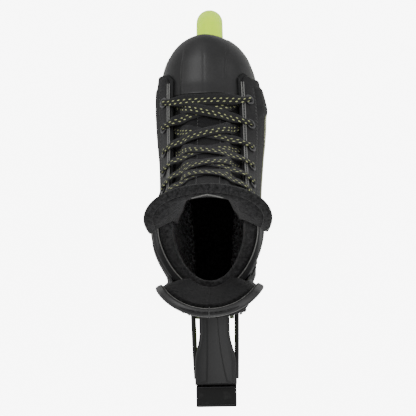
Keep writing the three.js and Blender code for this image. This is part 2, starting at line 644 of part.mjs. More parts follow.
// ---------------------------------------------------------------- boot: sole and toe
function outsole() {
  const margin = 2.2; // beyond the last
  const edge = (widths, side) => steps(1, 7, 9).map((t) =>
    [side * (column((s) => s[widths][0], t) + margin), column((s) => s.back[0], t)]);
  const heel = column((s) => s.back[0], 7);
  const heelHalf = column((s) => s.outer[0], 7) + margin;
  const heelReach = 15;
  const heelArc = steps(0, 180, 8).slice(1, -1).map((a) =>
    [heelHalf * Math.cos(rad(a)), heel - heelReach * Math.sin(rad(a))]);
  const toeArc = steps(0, 180, 12).slice(1, -1).map((a) => {
    const fill = Math.sin(rad(a)) ** toeBlunt;
    const across = Math.sign(90 - a) * Math.abs(Math.cos(rad(a))) ** toeBlunt;
    const half = (a < 90 ? sections[0].inner[0] : sections[0].outer[0]) + margin;
    return [-half * across + toeSkew * fill, toeRoot + (toeFront - toeRoot + margin) * fill];
  });
  const plan = [...edge("outer", 1), ...heelArc, ...edge("inner", -1).reverse(), ...toeArc];
  const shape = new THREE.Shape(plan.map(([x, y]) => new THREE.Vector2(x, y)));
  const prism = new THREE.ExtrudeGeometry(shape, { depth: 60, bevelEnabled: false }).translate(0, 0, soleTop - 28);
  const layer = slab(padBack, toeFront + 10, 60, solePlane, (y) => solePlane(y) - outsoleWall);
  const sockets = boltPlaces.map(([, y]) =>
    atBolt(new THREE.CylinderGeometry(boltRadius + gap, boltRadius + gap, 40, 12), y));
  return cut(common(layer, prism), ...sockets);
}
add("outsole", outsole(), "moulding");

const capEnd = 1.45;
const capMiddle = steps(-0.75, 0.75, 3).map((c) => [c < 0 ? -1 : 1, Math.abs(c) - 1]);
add("toe_cap", patch({
  t: [0, capEnd], columns: [...oneSide(-1, 0, 7), ...capMiddle, ...oneSide(1, 0, 7)],
  insets: [0, capWall],
}), "moulding");

// ---------------------------------------------------------------- boot: quarters, eyestays, heel
const quarterStart = 1;
const eyeletAngle = (t, side) => throatAngle(t, side) + eyeletSetback;

// The axis of an eyelet: a point half way through the layers it joins, and the direction out of the boot.
const flangeWall = 0.8;
const flangeTop = trimOutside - gap - flangeWall;
const eyeletLength = quarterInside - 0.3 - flangeTop;
function eyeletAxis(t, side) {
  const degrees = side * eyeletAngle(t, side);
  const inset = flangeTop + eyeletLength / 2;
  return { middle: bootPoint(t, degrees, inset), out: bootNormal(t, degrees, inset) };
}
const upright = new THREE.Vector3(0, 1, 0);
function onAxis(geometry, { middle, out }, height) {
  const base = middle.clone().addScaledVector(out, height);
  const turn = new THREE.Quaternion().setFromUnitVectors(upright, out);
  return geometry.applyQuaternion(turn).translate(base.x, base.y, base.z);
}

for (const [side, word] of [[-1, "inner"], [1, "outer"]]) {
  const holes = eyeletLevels.map((t) =>
    onAxis(new THREE.CylinderGeometry(eyeletRadius + gap * 2, eyeletRadius + gap * 2, 14, 8), eyeletAxis(t, side), 0));
  const quarter = patch({
    t: [quarterStart, rimStart + 1], columns: oneSide(side, 0, 7), insets: [quarterOutside, quarterInside],
  });
  add(`quarter_${word}`, cut(quarter, ...holes), "leather");
  const stay = patch({
    t: [quarterStart + 0.25, rimStart + 0.9], columns: inTurn(side, [[side, 0.05], [side, 1], [side, 2]]),
    insets: [trimOutside, quarterOutside - gap],
  });
  add(`eyestay_${word}`, cut(stay, ...holes), "leather");
}
add("heel_counter", patch({
  t: [7.05, rimStart], columns: bothSides(4), insets: [trimOutside - gap, quarterOutside - gap * 2],
}), "moulding");

// The guard behind the tendon lies on the quarters up to the rim and flares to its own top edge.
const guardTop = { height: soleTop + 205, drop: 21, centre: -62, halfWidth: 43, depth: 40, spread: 62 };
const guardWall = 5;
function tendonGuard() {
  const [rows, columns] = [7, 12];
  const grid = (inset) => steps(0, 1, rows).map((v) => steps(-1, 1, columns).map((c) => {
    const round = 180 + c * 62;
    const low = bootPoint(9.3, round, quarterOutside - gap - 0.4 + inset);
    const knee = bootPoint(11, round, quarterOutside - gap - 0.9 + inset);
    const a = rad(c * guardTop.spread);
    const g = guardTop;
    const half = g.halfWidth - inset;
    const high = new THREE.Vector3(-half * Math.sin(a), g.centre - (g.depth - inset) * Math.cos(a),
      g.height - g.drop * Math.abs(c) ** 2.6);
    const from = low.clone().lerp(knee, v);
    return from.lerp(knee.lerp(high, v), v);
  }));
  return shellBetween(grid(-guardWall + 0.3), grid(0));
}
add("tendon_guard", tendonGuard(), "leather");

// ---------------------------------------------------------------- boot: tongue, lining, collar, footbed
const tongueStart = capEnd + 0.06;
const tongueTuck = 15; // degrees that the tongue reaches in under the quarters
const tongueInset = (t, degrees, side) => {
  const share = Math.abs(degrees) / (throatAngle(t, side) - 3);
  return mix(tongueCrown, tongueSink, smooth(0.45, 1, share));
};
const tongueTop = { height: soleTop + 210, drop: 22, front: 0, halfWidth: 52, depth: 27, spread: 112 };
function tongue() {
  const columns = 14;
  const leave = 9.15; // where the tongue leaves the form of the boot
  const across = steps(-1, 1, columns);
  const on = (t, c, inset) => {
    const side = Math.sign(c) || 1;
    const degrees = c * (throatAngle(t, side) + tongueTuck);
    return bootPoint(t, degrees, tongueInset(t, Math.abs(degrees), side) + inset);
  };
  const grid = (inset) => {
    const lower = steps(tongueStart, leave, 9).map((t) => across.map((c) => on(t, c, inset)));
    const upper = steps(0, 1, 4).slice(1).map((v) => across.map((c) => {
      const low = on(leave, c, inset);
      const along = low.clone().sub(on(leave - 0.3, c, inset)).normalize();
      const g = tongueTop;
      const a = rad(c * g.spread);
      const high = new THREE.Vector3((g.halfWidth - inset) * Math.sin(a),
        g.front - g.depth + (g.depth - inset) * Math.cos(a), g.height - g.drop * Math.abs(c) ** 1.3 - inset * 0.2);
      const knee = low.clone().addScaledVector(along, 26);
      const from = low.clone().lerp(knee, v);
      return from.lerp(knee.lerp(high, v), v);
    }));
    return [...lower, ...upper];
  };
  return shellBetween(grid(0), grid(tongueWall));
}
add("tongue", tongue(), "felt");

add("lining", patch({
  t: [capEnd + 0.06, rimStart], columns: bothSides(2), insets: [0, linerWall],
}), "lining");
add("collar", patch({
  t: [rimStart + 0.04, rimStart + 1], columns: bothSides(2),
  insets: [0, (t) => mix(linerWall, collarPad, smooth(rimStart, rimStart + 0.5, t))],
}), "felt");

function footbed() {
  const low = underLast + linerWall + footbedClear; // above the outsole
  const [front, back] = [1.1, 6.2];
  const half = (key, t) => column((s) => s[key][0], t) - linerWall - mix(7, 10, smooth(front, back, t));
  const [heelReach, toeReach] = [6, 34];
  const place = (t) => column((s) => s.back[0], t);
  const side = (key, sign) => steps(front, back, 7).map((t) => [sign * half(key, t), place(t)]);
  const arc = (half, y, reach, count) => steps(0, 180, count).slice(1, -1).map((a) =>
    [half * Math.cos(rad(a)), y - reach * Math.sin(rad(a))]);
  const heel = arc(half("outer", back), place(back), heelReach, 6);
  const toe = arc(-half("inner", front), place(front), -toeReach, 8);
  const plan = [...side("outer", 1), ...heel, ...side("inner", -1).reverse(), ...toe];
  const shape = new THREE.Shape(plan.map(([x, y]) => new THREE.Vector2(x, y)));
  const prism = new THREE.ExtrudeGeometry(shape, { depth: 60, bevelEnabled: false }).translate(0, 0, soleTop - 8);
  return common(slab(-110, 150, 60, (y) => solePlane(y) + low + footbedWall, (y) => solePlane(y) + low), prism);
}
add("footbed", footbed(), "felt");

// ---------------------------------------------------------------- eyelets and lace
const eyeletBore = 2.4;
for (const [side, word] of [[-1, "inner"], [1, "outer"]])
  eyeletLevels.forEach((t, i) => {
    const [long, flange] = [eyeletLength, eyeletRadius + 1.4];
    const under = long - flangeWall;
    const points = [[eyeletBore, 0], [eyeletRadius, 0], [eyeletRadius, under], [flange, under],
      [flange - 0.4, long], [eyeletBore, long], [eyeletBore, 0]];
    const ring = new THREE.LatheGeometry(points.map(([r, z]) => new THREE.Vector2(r, z)), 8);
    add(`eyelet_${word}_${i + 1}`, onAxis(ring, eyeletAxis(t, side), -long / 2), "steel");
  });

// The lace is one flat ribbon, given by stops: a centre, a direction across the ribbon and a width. Each crossing
// comes from under one quarter, over the tongue and the other quarter, and down through its eyelet.
const laceClear = 1.5 + laceWall / 2;
function laceStop(t, degrees, inset, width) {
  const centre = bootPoint(t, degrees, inset);
  const across = bootPoint(t + 0.05, degrees, inset).sub(bootPoint(t - 0.05, degrees, inset)).normalize();
  return { centre, across, width };
}

// How deep a strand lies: on the tongue, then up over the far quarter; lifted where it crosses over another.
const laceOver = flangeTop - laceClear;
function laceDepth(t, degrees, start, lift) {
  const side = Math.sign(degrees) || start;
  const share = Math.abs(degrees) / throatAngle(t, side);
  const resting = tongueInset(t, degrees, side) - laceClear - lift * (1 - smooth(0.5, 0.9, share));
  return side === start ? resting : mix(resting, laceOver, smooth(0.5, 0.95, share));
}

// One strand from level a under the quarter on a side to level b over the other.
function laceStrand(side, a, b, lift) {
  const from = side * eyeletAngle(a, side);
  const to = -side * eyeletAngle(b, -side);
  return [0.1, 0.18, 0.26, 0.34, 0.42, 0.58, 0.66, 0.76, 0.84, 0.9].map((share) => {
    const [t, degrees] = [mix(a, b, share), mix(from, to, share)];
    const narrow = share < 0.12 || share > 0.88;
    return laceStop(t, degrees, laceDepth(t, degrees, side, lift), narrow ? laceWidth * 0.7 : laceWidth);
  });
}

// Down through an eyelet, from above its flange to under the quarter.
function laceDive(side, t) {
  const { middle, out } = eyeletAxis(t, side);
  const across = laceStop(t, side * eyeletAngle(t, side), 0, 0).across;
  const heights = [eyeletLength / 2 + laceClear, 0, -eyeletLength / 2 - laceWall - 0.8];
  return heights.map((h) => ({ centre: middle.clone().addScaledVector(out, h), across, width: laceNeck }));
}

// Half of the lace, from one end of the bar at level 1 up to the top.
function laceClimb(first) {
  const last = eyeletLevels.length - 1;
  return eyeletLevels.flatMap((level, i) => {
    const side = i % 2 === 0 ? first : -first;
    const over = (i % 2 === 0) === (side < 0);
    const strand = i < last ? laceStrand(side, level, eyeletLevels[i + 1], over ? laceWall + gap * 2 : 0) : [];
    return [...laceDive(side, level), ...strand];
  });
}

function laceBar() {
  const [level] = eyeletLevels;
  const [left, right] = [-eyeletAngle(level, -1), eyeletAngle(level, 1)];
  return [0.1, 0.2, 0.32, 0.44, 0.56, 0.68, 0.8, 0.9].map((share) =>
    laceStop(level, mix(left, right, share), laceOver, share < 0.12 || share > 0.88 ? laceWidth * 0.7 : laceWidth));
}

function lace() {
  const route = [...laceClimb(-1).reverse(), ...laceBar(), ...laceClimb(1)];
  const rings = route.map(({ centre, across, width }, i) => {
    const before = route[Math.max(i - 1, 0)].centre;
    const after = route[Math.min(i + 1, route.length - 1)].centre;
    const ahead = after.clone().sub(before).normalize();
    const wide = across.clone().addScaledVector(ahead, -across.dot(ahead)).normalize();
    const thick = ahead.clone().cross(wide);
    const [w, h] = [width / 2, laceWall / 2];
    return [[w, h], [-w, h], [-w, -h], [w, -h]].map(([a, b]) =>
      centre.clone().addScaledVector(wide, a).addScaledVector(thick, b));
  });
  const faces = [];
  for (let i = 0; i < rings.length - 1; i++)
    for (let k = 0; k < 4; k++) {
      const [a, b] = [i * 4 + k, i * 4 + (k + 1) % 4];
      faces.push(a, b, b + 4, a, b + 4, a + 4);
    }
  const end = (rings.length - 1) * 4;
  faces.push(0, 2, 1, 0, 3, 2, end, end + 1, end + 2, end, end + 2, end + 3);
  const geometry = new THREE.BufferGeometry().setFromPoints(rings.flat()).setIndex(faces);
  return solidOf(geometry).volume() > 0 ? geometry : flipped(geometry);
}
add("lace", lace(), "lace");

export default skate;
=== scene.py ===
import math

import bmesh
import bpy
import numpy as np
from mathutils import Matrix, Vector


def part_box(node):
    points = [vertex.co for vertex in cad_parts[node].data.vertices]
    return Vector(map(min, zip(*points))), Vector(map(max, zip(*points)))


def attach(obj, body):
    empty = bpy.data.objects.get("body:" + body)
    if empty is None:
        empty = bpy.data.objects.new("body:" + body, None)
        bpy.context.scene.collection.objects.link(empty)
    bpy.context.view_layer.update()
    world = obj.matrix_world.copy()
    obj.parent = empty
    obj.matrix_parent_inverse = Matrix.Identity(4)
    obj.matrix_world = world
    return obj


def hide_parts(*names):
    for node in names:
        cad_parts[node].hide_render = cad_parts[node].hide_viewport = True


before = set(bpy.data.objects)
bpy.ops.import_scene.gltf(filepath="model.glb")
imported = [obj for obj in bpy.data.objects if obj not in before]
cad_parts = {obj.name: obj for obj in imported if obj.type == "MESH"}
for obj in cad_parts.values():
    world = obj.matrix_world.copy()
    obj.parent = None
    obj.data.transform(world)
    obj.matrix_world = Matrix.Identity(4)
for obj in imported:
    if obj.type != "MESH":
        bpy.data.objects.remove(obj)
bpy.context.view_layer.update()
print("frame loaded:", len(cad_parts), "nodes")

# Shapes are worked out in millimetres, +Y to the toe, +X to the outer side, +Z up, and become metres in
# makeMesh.
millimetre = 0.001


# Numbers and curves.

def smoothStep(low, high, value):
    # 0 below low, 1 above high, and 3s^2 - 2s^3 between them
    s = np.clip((np.asarray(value, float) - low) / (high - low), 0, 1)
    return s * s * (3 - 2 * s)


def mixed(a, b, share):
    return a + (b - a) * share


def bell(value, width):
    # 1 at 0, falling as exp(-(value / width)^2)
    return np.exp(-(np.asarray(value, float) / width) ** 2)


def curveThrough(values, t):
    # Catmull-Rom curve through values at t = 1, 2, 3 ...
    values = np.asarray(values, float)
    at = np.clip(np.asarray(t, float) - 1, 0, len(values) - 1)
    i = np.minimum(at.astype(int), len(values) - 2)
    f = at - i
    b, c = values[i], values[i + 1]
    a = np.where(i > 0, values[np.maximum(i - 1, 0)], 2 * b - c)
    d = np.where(i < len(values) - 2, values[np.minimum(i + 2, len(values) - 1)], 2 * c - b)
    return b + 0.5 * f * (c - a + f * (2 * a - 5 * b + 4 * c - d + f * (3 * (b - c) + d - a)))


def unit(vectors):
    return vectors / np.maximum(np.linalg.norm(vectors, axis=-1, keepdims=True), 1e-9)


def bordered(count, border, length):
    # shares from 0 to 1, even inside and closer together within the border at each end, for rounded edges
    b = border / length
    ends = b * np.array([0, 0.04, 0.15, 0.33, 0.6])
    return np.concatenate([ends, np.linspace(b, 1 - b, count), 1 - ends[::-1]])


# Meshes.

def pointsOf(mesh):
    flat = np.zeros(len(mesh.vertices) * 3)
    mesh.vertices.foreach_get("co", flat)
    return flat.reshape(-1, 3)


def setPoints(mesh, points):
    mesh.vertices.foreach_set("co", np.asarray(points, float).ravel())


def makeMesh(name, points, faces, uv=None, values=None):
    # points in millimetres; uv and values have one row for each point
    mesh = bpy.data.meshes.new(name)
    faces = faces.tolist() if isinstance(faces, np.ndarray) else faces
    mesh.from_pydata((np.asarray(points, float).reshape(-1, 3) * millimetre).tolist(), [], faces)
    if uv is not None:
        corners = np.zeros(len(mesh.loops), int)
        mesh.loops.foreach_get("vertex_index", corners)
        places = np.asarray(uv, float).reshape(-1, 2)[corners]
        mesh.uv_layers.new(name="UVMap").data.foreach_set("uv", places.ravel())
    for key, value in (values or {}).items():
        layer = mesh.attributes.new(key, "FLOAT", "POINT")
        layer.data.foreach_set("value", np.asarray(value, np.float32).ravel())
    piece = bpy.data.objects.new(name, mesh)
    bpy.context.scene.collection.objects.link(piece)
    mesh.shade_smooth()
    return piece


def gridFaces(rows, columns, start=0, closeRows=False, closeColumns=False):
    # quads between neighbours on a grid of rows by columns
    i = np.arange(rows if closeRows else rows - 1)[:, None]
    j = np.arange(columns if closeColumns else columns - 1)[None, :]
    i2, j2 = (i + 1) % rows, (j + 1) % columns
    quads = np.stack([i * columns + j, i * columns + j2, i2 * columns + j2, i2 * columns + j], -1)
    return quads.reshape(-1, 4) + start


def tidy(piece, merge=True):
    # merges what lies within a thousandth of a millimetre and turns the faces out
    work = bmesh.new()
    work.from_mesh(piece.data)
    if merge:
        bmesh.ops.remove_doubles(work, verts=work.verts, dist=0.001 * millimetre)
        bmesh.ops.dissolve_degenerate(work, edges=work.edges, dist=0.001 * millimetre)
    bmesh.ops.recalc_face_normals(work, faces=work.faces)
    work.to_mesh(piece.data)
    work.free()
    return piece


def shell(name, outer, inner, uv=None, values=None, twoFinishes=False):
    # two grids of the same size that meet all round their border become one closed skin, with a second
    # finish inside
    rows, columns = outer.shape[:2]
    faces = np.concatenate([gridFaces(rows, columns), gridFaces(rows, columns, rows * columns)[:, ::-1]])
    points = np.concatenate([outer.reshape(-1, 3), inner.reshape(-1, 3)])
    twice = lambda v: np.concatenate([v.reshape(rows * columns, -1)] * 2)
    extra = {key: twice(v) for key, v in (values or {}).items()}
    piece = makeMesh(name, points, faces, None if uv is None else twice(uv), extra)
    if twoFinishes:
        piece.data.polygons.foreach_set("material_index", np.repeat([0, 1], len(faces) // 2))
    return tidy(piece)


def turnedPiece(name, profile, centre, axis="x", sides=64, wave=None):
    # a profile of (radius, along) points carried round an axis; closed along the profile where its ends
    # meet
    profile = np.asarray(profile, float)
    closed = np.allclose(profile[0], profile[-1])
    if closed:
        profile = profile[:-1]
    turn = np.linspace(0, 2 * math.pi, sides, endpoint=False)
    radius = np.repeat(profile[:, 0][:, None], sides, 1)
    along = np.repeat(profile[:, 1][:, None], sides, 1)
    if wave is not None:
        radius, along = wave(radius, along, np.broadcast_to(turn, radius.shape))
    a, b = radius * np.cos(turn), radius * np.sin(turn)
    order = {"x": (along, a, b), "z": (a, b, along)}[axis]
    points = np.stack(order, -1) + np.asarray(centre, float)
    uv = np.stack([np.broadcast_to(turn, radius.shape), along], -1)
    faces = gridFaces(len(profile), sides, closeRows=closed, closeColumns=True)
    return tidy(makeMesh(name, points, faces, uv))


def rounded(corners, radius=0.6, steps=4):
    # a closed or open profile of points with each corner between its ends rounded by a small quadratic
    # curve
    corners = [np.asarray(c, float) for c in corners]
    closed = np.allclose(corners[0], corners[-1])
    loop = corners[:-1] if closed else corners
    line = []
    for i, corner in enumerate(loop):
        if not closed and i in (0, len(loop) - 1):
            line.append(corner)
            continue
        before, after = loop[i - 1], loop[(i + 1) % len(loop)]
        r1 = min(radius, np.linalg.norm(before - corner) * 0.45)
        r2 = min(radius, np.linalg.norm(after - corner) * 0.45)
        p = corner + (before - corner) / np.linalg.norm(before - corner) * r1
        q = corner + (after - corner) / np.linalg.norm(after - corner) * r2
        for f in np.linspace(0, 1, steps):
            line.append((1 - f) ** 2 * p + 2 * f * (1 - f) * corner + f * f * q)
    if closed:
        line.append(line[0])
    return np.array(line)


def sweep(name, path, across, profile, uvScale=1.0):
    # a closed profile of (sideways, outwards) points carried along a path with a given direction across
    # it, with flat caps; the profile may have one row for each point of the path
    path, across = np.asarray(path, float), np.asarray(across, float)
    ahead = unit(np.gradient(path, axis=0))
    across = unit(across - (across * ahead).sum(-1, keepdims=True) * ahead)
    out = np.cross(ahead, across)
    profile = np.asarray(profile, float)
    if profile.ndim == 2:
        profile = np.repeat(profile[None], len(path), 0)
    points = path[:, None] + profile[..., :1] * across[:, None] + profile[..., 1:] * out[:, None]
    rows, columns = points.shape[:2]
    faces = gridFaces(rows, columns, closeColumns=True).tolist()
    faces += [list(range(columns))[::-1], [(rows - 1) * columns + j for j in range(columns)]]
    far = np.concatenate([[0], np.cumsum(np.linalg.norm(np.diff(path, axis=0), axis=1))])
    uv = np.stack([np.repeat(far[:, None], columns, 1), profile[..., 0]], -1) * uvScale
    return tidy(makeMesh(name, points, faces, uv), merge=False)


def roundBar(width, height, sides=12):
    # a flat bar's section with rounded sides, as a superellipse
    a = np.linspace(0, 2 * math.pi, sides, endpoint=False)
    c, s = np.cos(a), np.sin(a)
    across, up = np.sign(c) * np.abs(c) ** 0.6, np.sign(s) * np.abs(s) ** 0.8
    return np.stack([width / 2 * across, height / 2 * up], -1)


def disc(radius, sides=8):
    a = np.linspace(0, 2 * math.pi, sides, endpoint=False)
    return np.stack([radius * np.cos(a), radius * np.sin(a)], -1)


def finishPiece(piece, paint, body="skate", stands=()):
    # one paint, or two where the mesh has a second finish, then the body it rides on and the nodes it
    # stands for
    inside = np.zeros(len(piece.data.polygons), int)
    piece.data.polygons.foreach_get("material_index", inside)
    piece.data.materials.clear()
    for finish in paint if isinstance(paint, list) else [paint]:
        piece.data.materials.append(finish)
    if isinstance(paint, list):
        piece.data.polygons.foreach_set("material_index", inside)
    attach(piece, body)
    if stands:
        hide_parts(*stands)
    return piece


# Each column is one section of the fan from the toe round the instep to the rim: its back point on the
# sole, the heel or the calf, its front point on the instep, and its half widths near the two.
bootForm = {
    "backY": [100, 76, 46, 14, -22, -58, -88, -97.5, -92, -85, -84],
    "backZ": [0, 0, 0, 0, 0, 0, 106, 140, 178, 210, 238],
    "frontY": [100, 80, 58, 40, 25, 13, 5, 0, -3, -5, -6],
    "frontZ": [142, 152, 168, 187, 210, 232, 250, 262, 270, 276, 281],
    "innerLow": [41.5, 42, 39, 34, 31, 30, 30, 31, 32, 34, 36],
    "innerHigh": [41.5, 42, 42, 42.5, 43, 43, 42, 41, 41, 43, 46],
    "outerLow": [40, 44.5, 42.5, 37, 33, 31, 30, 31, 32, 34, 36],
    "outerHigh": [40, 45, 46, 46, 45, 44, 42, 41, 41, 42, 44],
    "waist": [0.34, 0.34, 0.36, 0.42, 0.46, 0.5, 0.52, 0.53, 0.55, 0.58, 0.6],
    "square": [0.45, 0.45, 0.45, 0.46, 0.5, 0.54, 0.72, 0.9, 1, 1, 1],
}
boot = {
    "toeFront": 148, "toeRoot": 100, "toeBlunt": 0.93, "toeEase": 7, "toeSkew": -4, "noseHeight": 20,
    "soleTop": 88, "soleSlope": 0.04, "underLast": 4.8, "gap": 0.3, "quarterOut": -4.5, "quarterIn": -0.4,
    "stayOut": -6.2, "throatInner": (33, 34), "throatOuter": (27, 34), "tongueCrown": -3, "tongueSink": 3.4,
    "tongueTuck": 15, "rimStart": 9.1, "capEnd": 1.45, "facingSpan": 21, "rimFront": 9.45, "rimBack": 10.7,
}
for k, y in enumerate(bootForm["backY"][:6]):
    bootForm["backZ"][k] = boot["soleTop"] + boot["soleSlope"] * (boot["toeFront"] - y) + boot["underLast"]


def solePlane(y):
    return boot["soleTop"] + boot["soleSlope"] * (boot["toeFront"] - y)


def form(key, t):
    return curveThrough(bootForm[key], np.maximum(t, 1))


def bootPoint(t, angle, inset=0.0):
    # t runs from the tip of the toe at 0 to the rim at 11, and the angle from the instep at 0 to the sole
    # or the back at 180, past it on the inner side. A section spans from its back to its front point; the
    # share of the way is the waist plus a cosine, the width a sine, squared off towards the sole. Before
    # t = 1 the first section shrinks along a blunt ellipse to the tip, and toeEase takes the kink out of
    # the top where that begins.
    t, angle, inset = np.broadcast_arrays(np.asarray(t, float), np.asarray(angle, float),
                                          np.asarray(inset, float))
    signed = np.where(angle > 180, angle - 360, angle)
    inner = signed < 0
    turn = np.radians(np.abs(signed))
    c, s = np.cos(turn), np.sin(turn)
    toe = t < 1
    bend = (1 - np.clip(t, 0, 1)) * math.pi / 2
    fill = np.where(toe, np.cos(bend) ** boot["toeBlunt"], 1)
    forward = np.where(toe, np.sin(bend) ** boot["toeBlunt"], 0)
    backZ, frontZ = form("backZ", t), form("frontZ", t)
    ahead = (boot["toeFront"] - boot["toeRoot"]) * forward
    frontZ = frontZ - boot["toeEase"] / 2 * (1 - np.exp(-ahead / boot["toeEase"]))
    nose = backZ + boot["noseHeight"]
    dropped = backZ - (boot["underLast"] - boot["gap"]) * (1 - smoothStep(0.8, 0.97, t)) * toe
    backZ = np.where(toe, nose + (dropped - nose) * np.sqrt(np.maximum(fill, 0)), backZ)
    frontZ = np.where(toe, nose + (frontZ - nose) * np.maximum(fill, 0) ** 0.62, frontZ)
    reach = (boot["toeFront"] - boot["toeRoot"] - inset) * forward
    backY, frontY = form("backY", t) + reach, form("frontY", t) + reach
    length = np.hypot(frontY - backY, frontZ - backZ)
    safe = np.maximum(length, 1e-9)
    shrink = np.where(toe, inset * fill, inset)
    waist = form("waist", t)
    square = np.where(c < 0, form("square", t), 1)
    share = np.where(c < 0, waist - waist * np.maximum(-c, 0) ** square, waist + (1 - waist) * c)
    low = np.where(inner, form("innerLow", t), form("outerLow", t))
    high = np.where(inner, form("innerHigh", t), form("outerHigh", t))
    width = np.maximum((low + (high - low) * share) * fill - shrink, 0)
    x = np.where(inner, -1, 1) * width * np.maximum(s, 0) ** square + boot["toeSkew"] * (1 - fill)
    along = shrink + (length - 2 * shrink) * share
    return np.stack([x, backY + (frontY - backY) / safe * along, backZ + (frontZ - backZ) / safe * along], -1)


def bootNormal(t, angle, inset=0.0):
    # the direction out of the boot, square to its surface, from small steps both ways
    dt, da = 0.02, 0.6
    along = bootPoint(t + dt, angle, inset) - bootPoint(t - dt, angle, inset)
    around = bootPoint(t, angle + da, inset) - bootPoint(t, angle - da, inset)
    normal = unit(np.cross(along, around))
    outward = bootPoint(t, angle, np.asarray(inset, float) - 1) - bootPoint(t, angle, inset)
    return np.where((normal * outward).sum(-1, keepdims=True) < 0, -normal, normal)


def onBoot(t, angle, inset=0.0, lift=0.0):
    # a point of the surface at an inset, moved square to it by a true distance in millimetres
    t, angle, inset, lift = np.broadcast_arrays(*(np.asarray(v, float) for v in (t, angle, inset, lift)))
    return bootPoint(t, angle, inset) + bootNormal(t, angle, inset) * lift[..., None]


def throatAngle(t, side):
    # the throat's edge, as an angle, from its half width and the section's own
    share = (np.asarray(t, float) - 1) / 10
    inner = np.asarray(side) < 0
    half = np.where(inner, mixed(*boot["throatInner"], share), mixed(*boot["throatOuter"], share))
    width = np.where(inner, form("innerHigh", t), form("outerHigh", t)) - boot["quarterOut"]
    return np.degrees(np.arcsin(np.minimum(half / width, 0.9)))


def columnAngle(k, t, side):
    # from the throat's edge at 0, over the facing's edge at 2, to the sole or the back at 7
    throat = throatAngle(t, side)
    facing = boot["facingSpan"]
    return np.where(k <= 2, throat + facing * k / 2, mixed(throat + facing, 180, (k - 2) / 5))


def roundAngle(q, t):
    # both sides in one run: 0 at the outer throat edge, 7 at the sole or back, 14 at the inner throat
    # edge
    outer, inner = columnAngle(q, t, 1), 360 - columnAngle(14 - q, t, -1)
    return np.where(q <= 7, outer, inner)


def onRim(t, angle):
    # past rimStart the rows spread to the rim, which is lower in front than at the sides
    around = np.abs(np.where(angle > 180, angle - 360, angle))
    top = mixed(boot["rimFront"], boot["rimBack"], smoothStep(42, 80, around))
    start = boot["rimStart"]
    return np.where(t <= start, t, start + (top - start) * (t - start))


def farAlong(grid, axis):
    # how far each point of a grid is from its first row or column, measured along the surface
    steps = np.linalg.norm(np.diff(grid, axis=axis), axis=-1)
    zero = np.zeros_like(np.take(steps, [0], axis))
    return np.concatenate([zero, np.cumsum(steps, axis)], axis)


def edgeShare(grid, radius):
    # 0 on the border of a grid of points and 1 past radius millimetres in, rising as a quarter circle
    def along(axis):
        far = farAlong(grid, axis)
        near = np.minimum(far, np.take(far, [-1], axis) - far)
        return np.sqrt(np.maximum(1 - (1 - np.minimum(near / radius, 1)) ** 2, 0))
    return along(0) * along(1)


def bootLayer(name, tSpan, qSpan, insets, size=(60, 60), relief=None, round=None, toRim=False,
              lengths=(150, 120)):
    # a layer of the boot between two insets, over spans of t and q, with rounded borders; relief(t, q)
    # lifts its outer face in millimetres
    thick = insets[1] - insets[0]
    edge = round or thick / 2
    q = mixed(qSpan[0], qSpan[1], bordered(size[1], edge, lengths[1]))[None, :]
    start = tSpan[0](q) if callable(tSpan[0]) else tSpan[0]
    t = mixed(start, tSpan[1], bordered(size[0], edge, lengths[0])[:, None])
    t, q = np.broadcast_arrays(t, q)
    angle = roundAngle(q, t)
    row = onRim(t, angle) if toRim else t
    middle = bootPoint(row, angle, insets[0] + thick / 2)
    share = edgeShare(middle, edge)
    lift = 0 if relief is None else relief(t, q) * share
    outer = onBoot(row, angle, insets[0] + (1 - share) * thick / 2, lift)
    inner = bootPoint(row, angle, insets[1] - (1 - share) * thick / 2)
    uv = np.stack([farAlong(middle, 1), farAlong(middle, 0)], -1) / 10
    return shell(name, outer, inner, uv, {"border": 1 - share})


# Paints.

class Signal:
    # wraps a socket, so that sums of values are written as Python expressions
    def __init__(self, paint, socket):
        self.paint, self.socket = paint, socket

    def combine(self, operation, other, swapped=False):
        pair = (other, self) if swapped else (self, other)
        return self.paint.add("ShaderNodeMath", {"operation": operation}, {0: pair[0], 1: pair[1]})

    def __add__(self, other):
        return self.combine("ADD", other)

    def __sub__(self, other):
        return self.combine("SUBTRACT", other)

    def __rsub__(self, other):
        return self.combine("SUBTRACT", other, True)

    def __mul__(self, other):
        return self.combine("MULTIPLY", other)

    def __truediv__(self, other):
        return self.combine("DIVIDE", other)

    __radd__, __rmul__ = __add__, __mul__

    def call(self, operation):
        return self.combine(operation, 0.0)

    def between(self, low, high):
        # 0 below low and 1 above high, eased
        return self.paint.add("ShaderNodeMapRange", {"interpolation_type": "SMOOTHSTEP"},
                              {0: self, 1: low, 2: high, 3: 0.0, 4: 1.0})


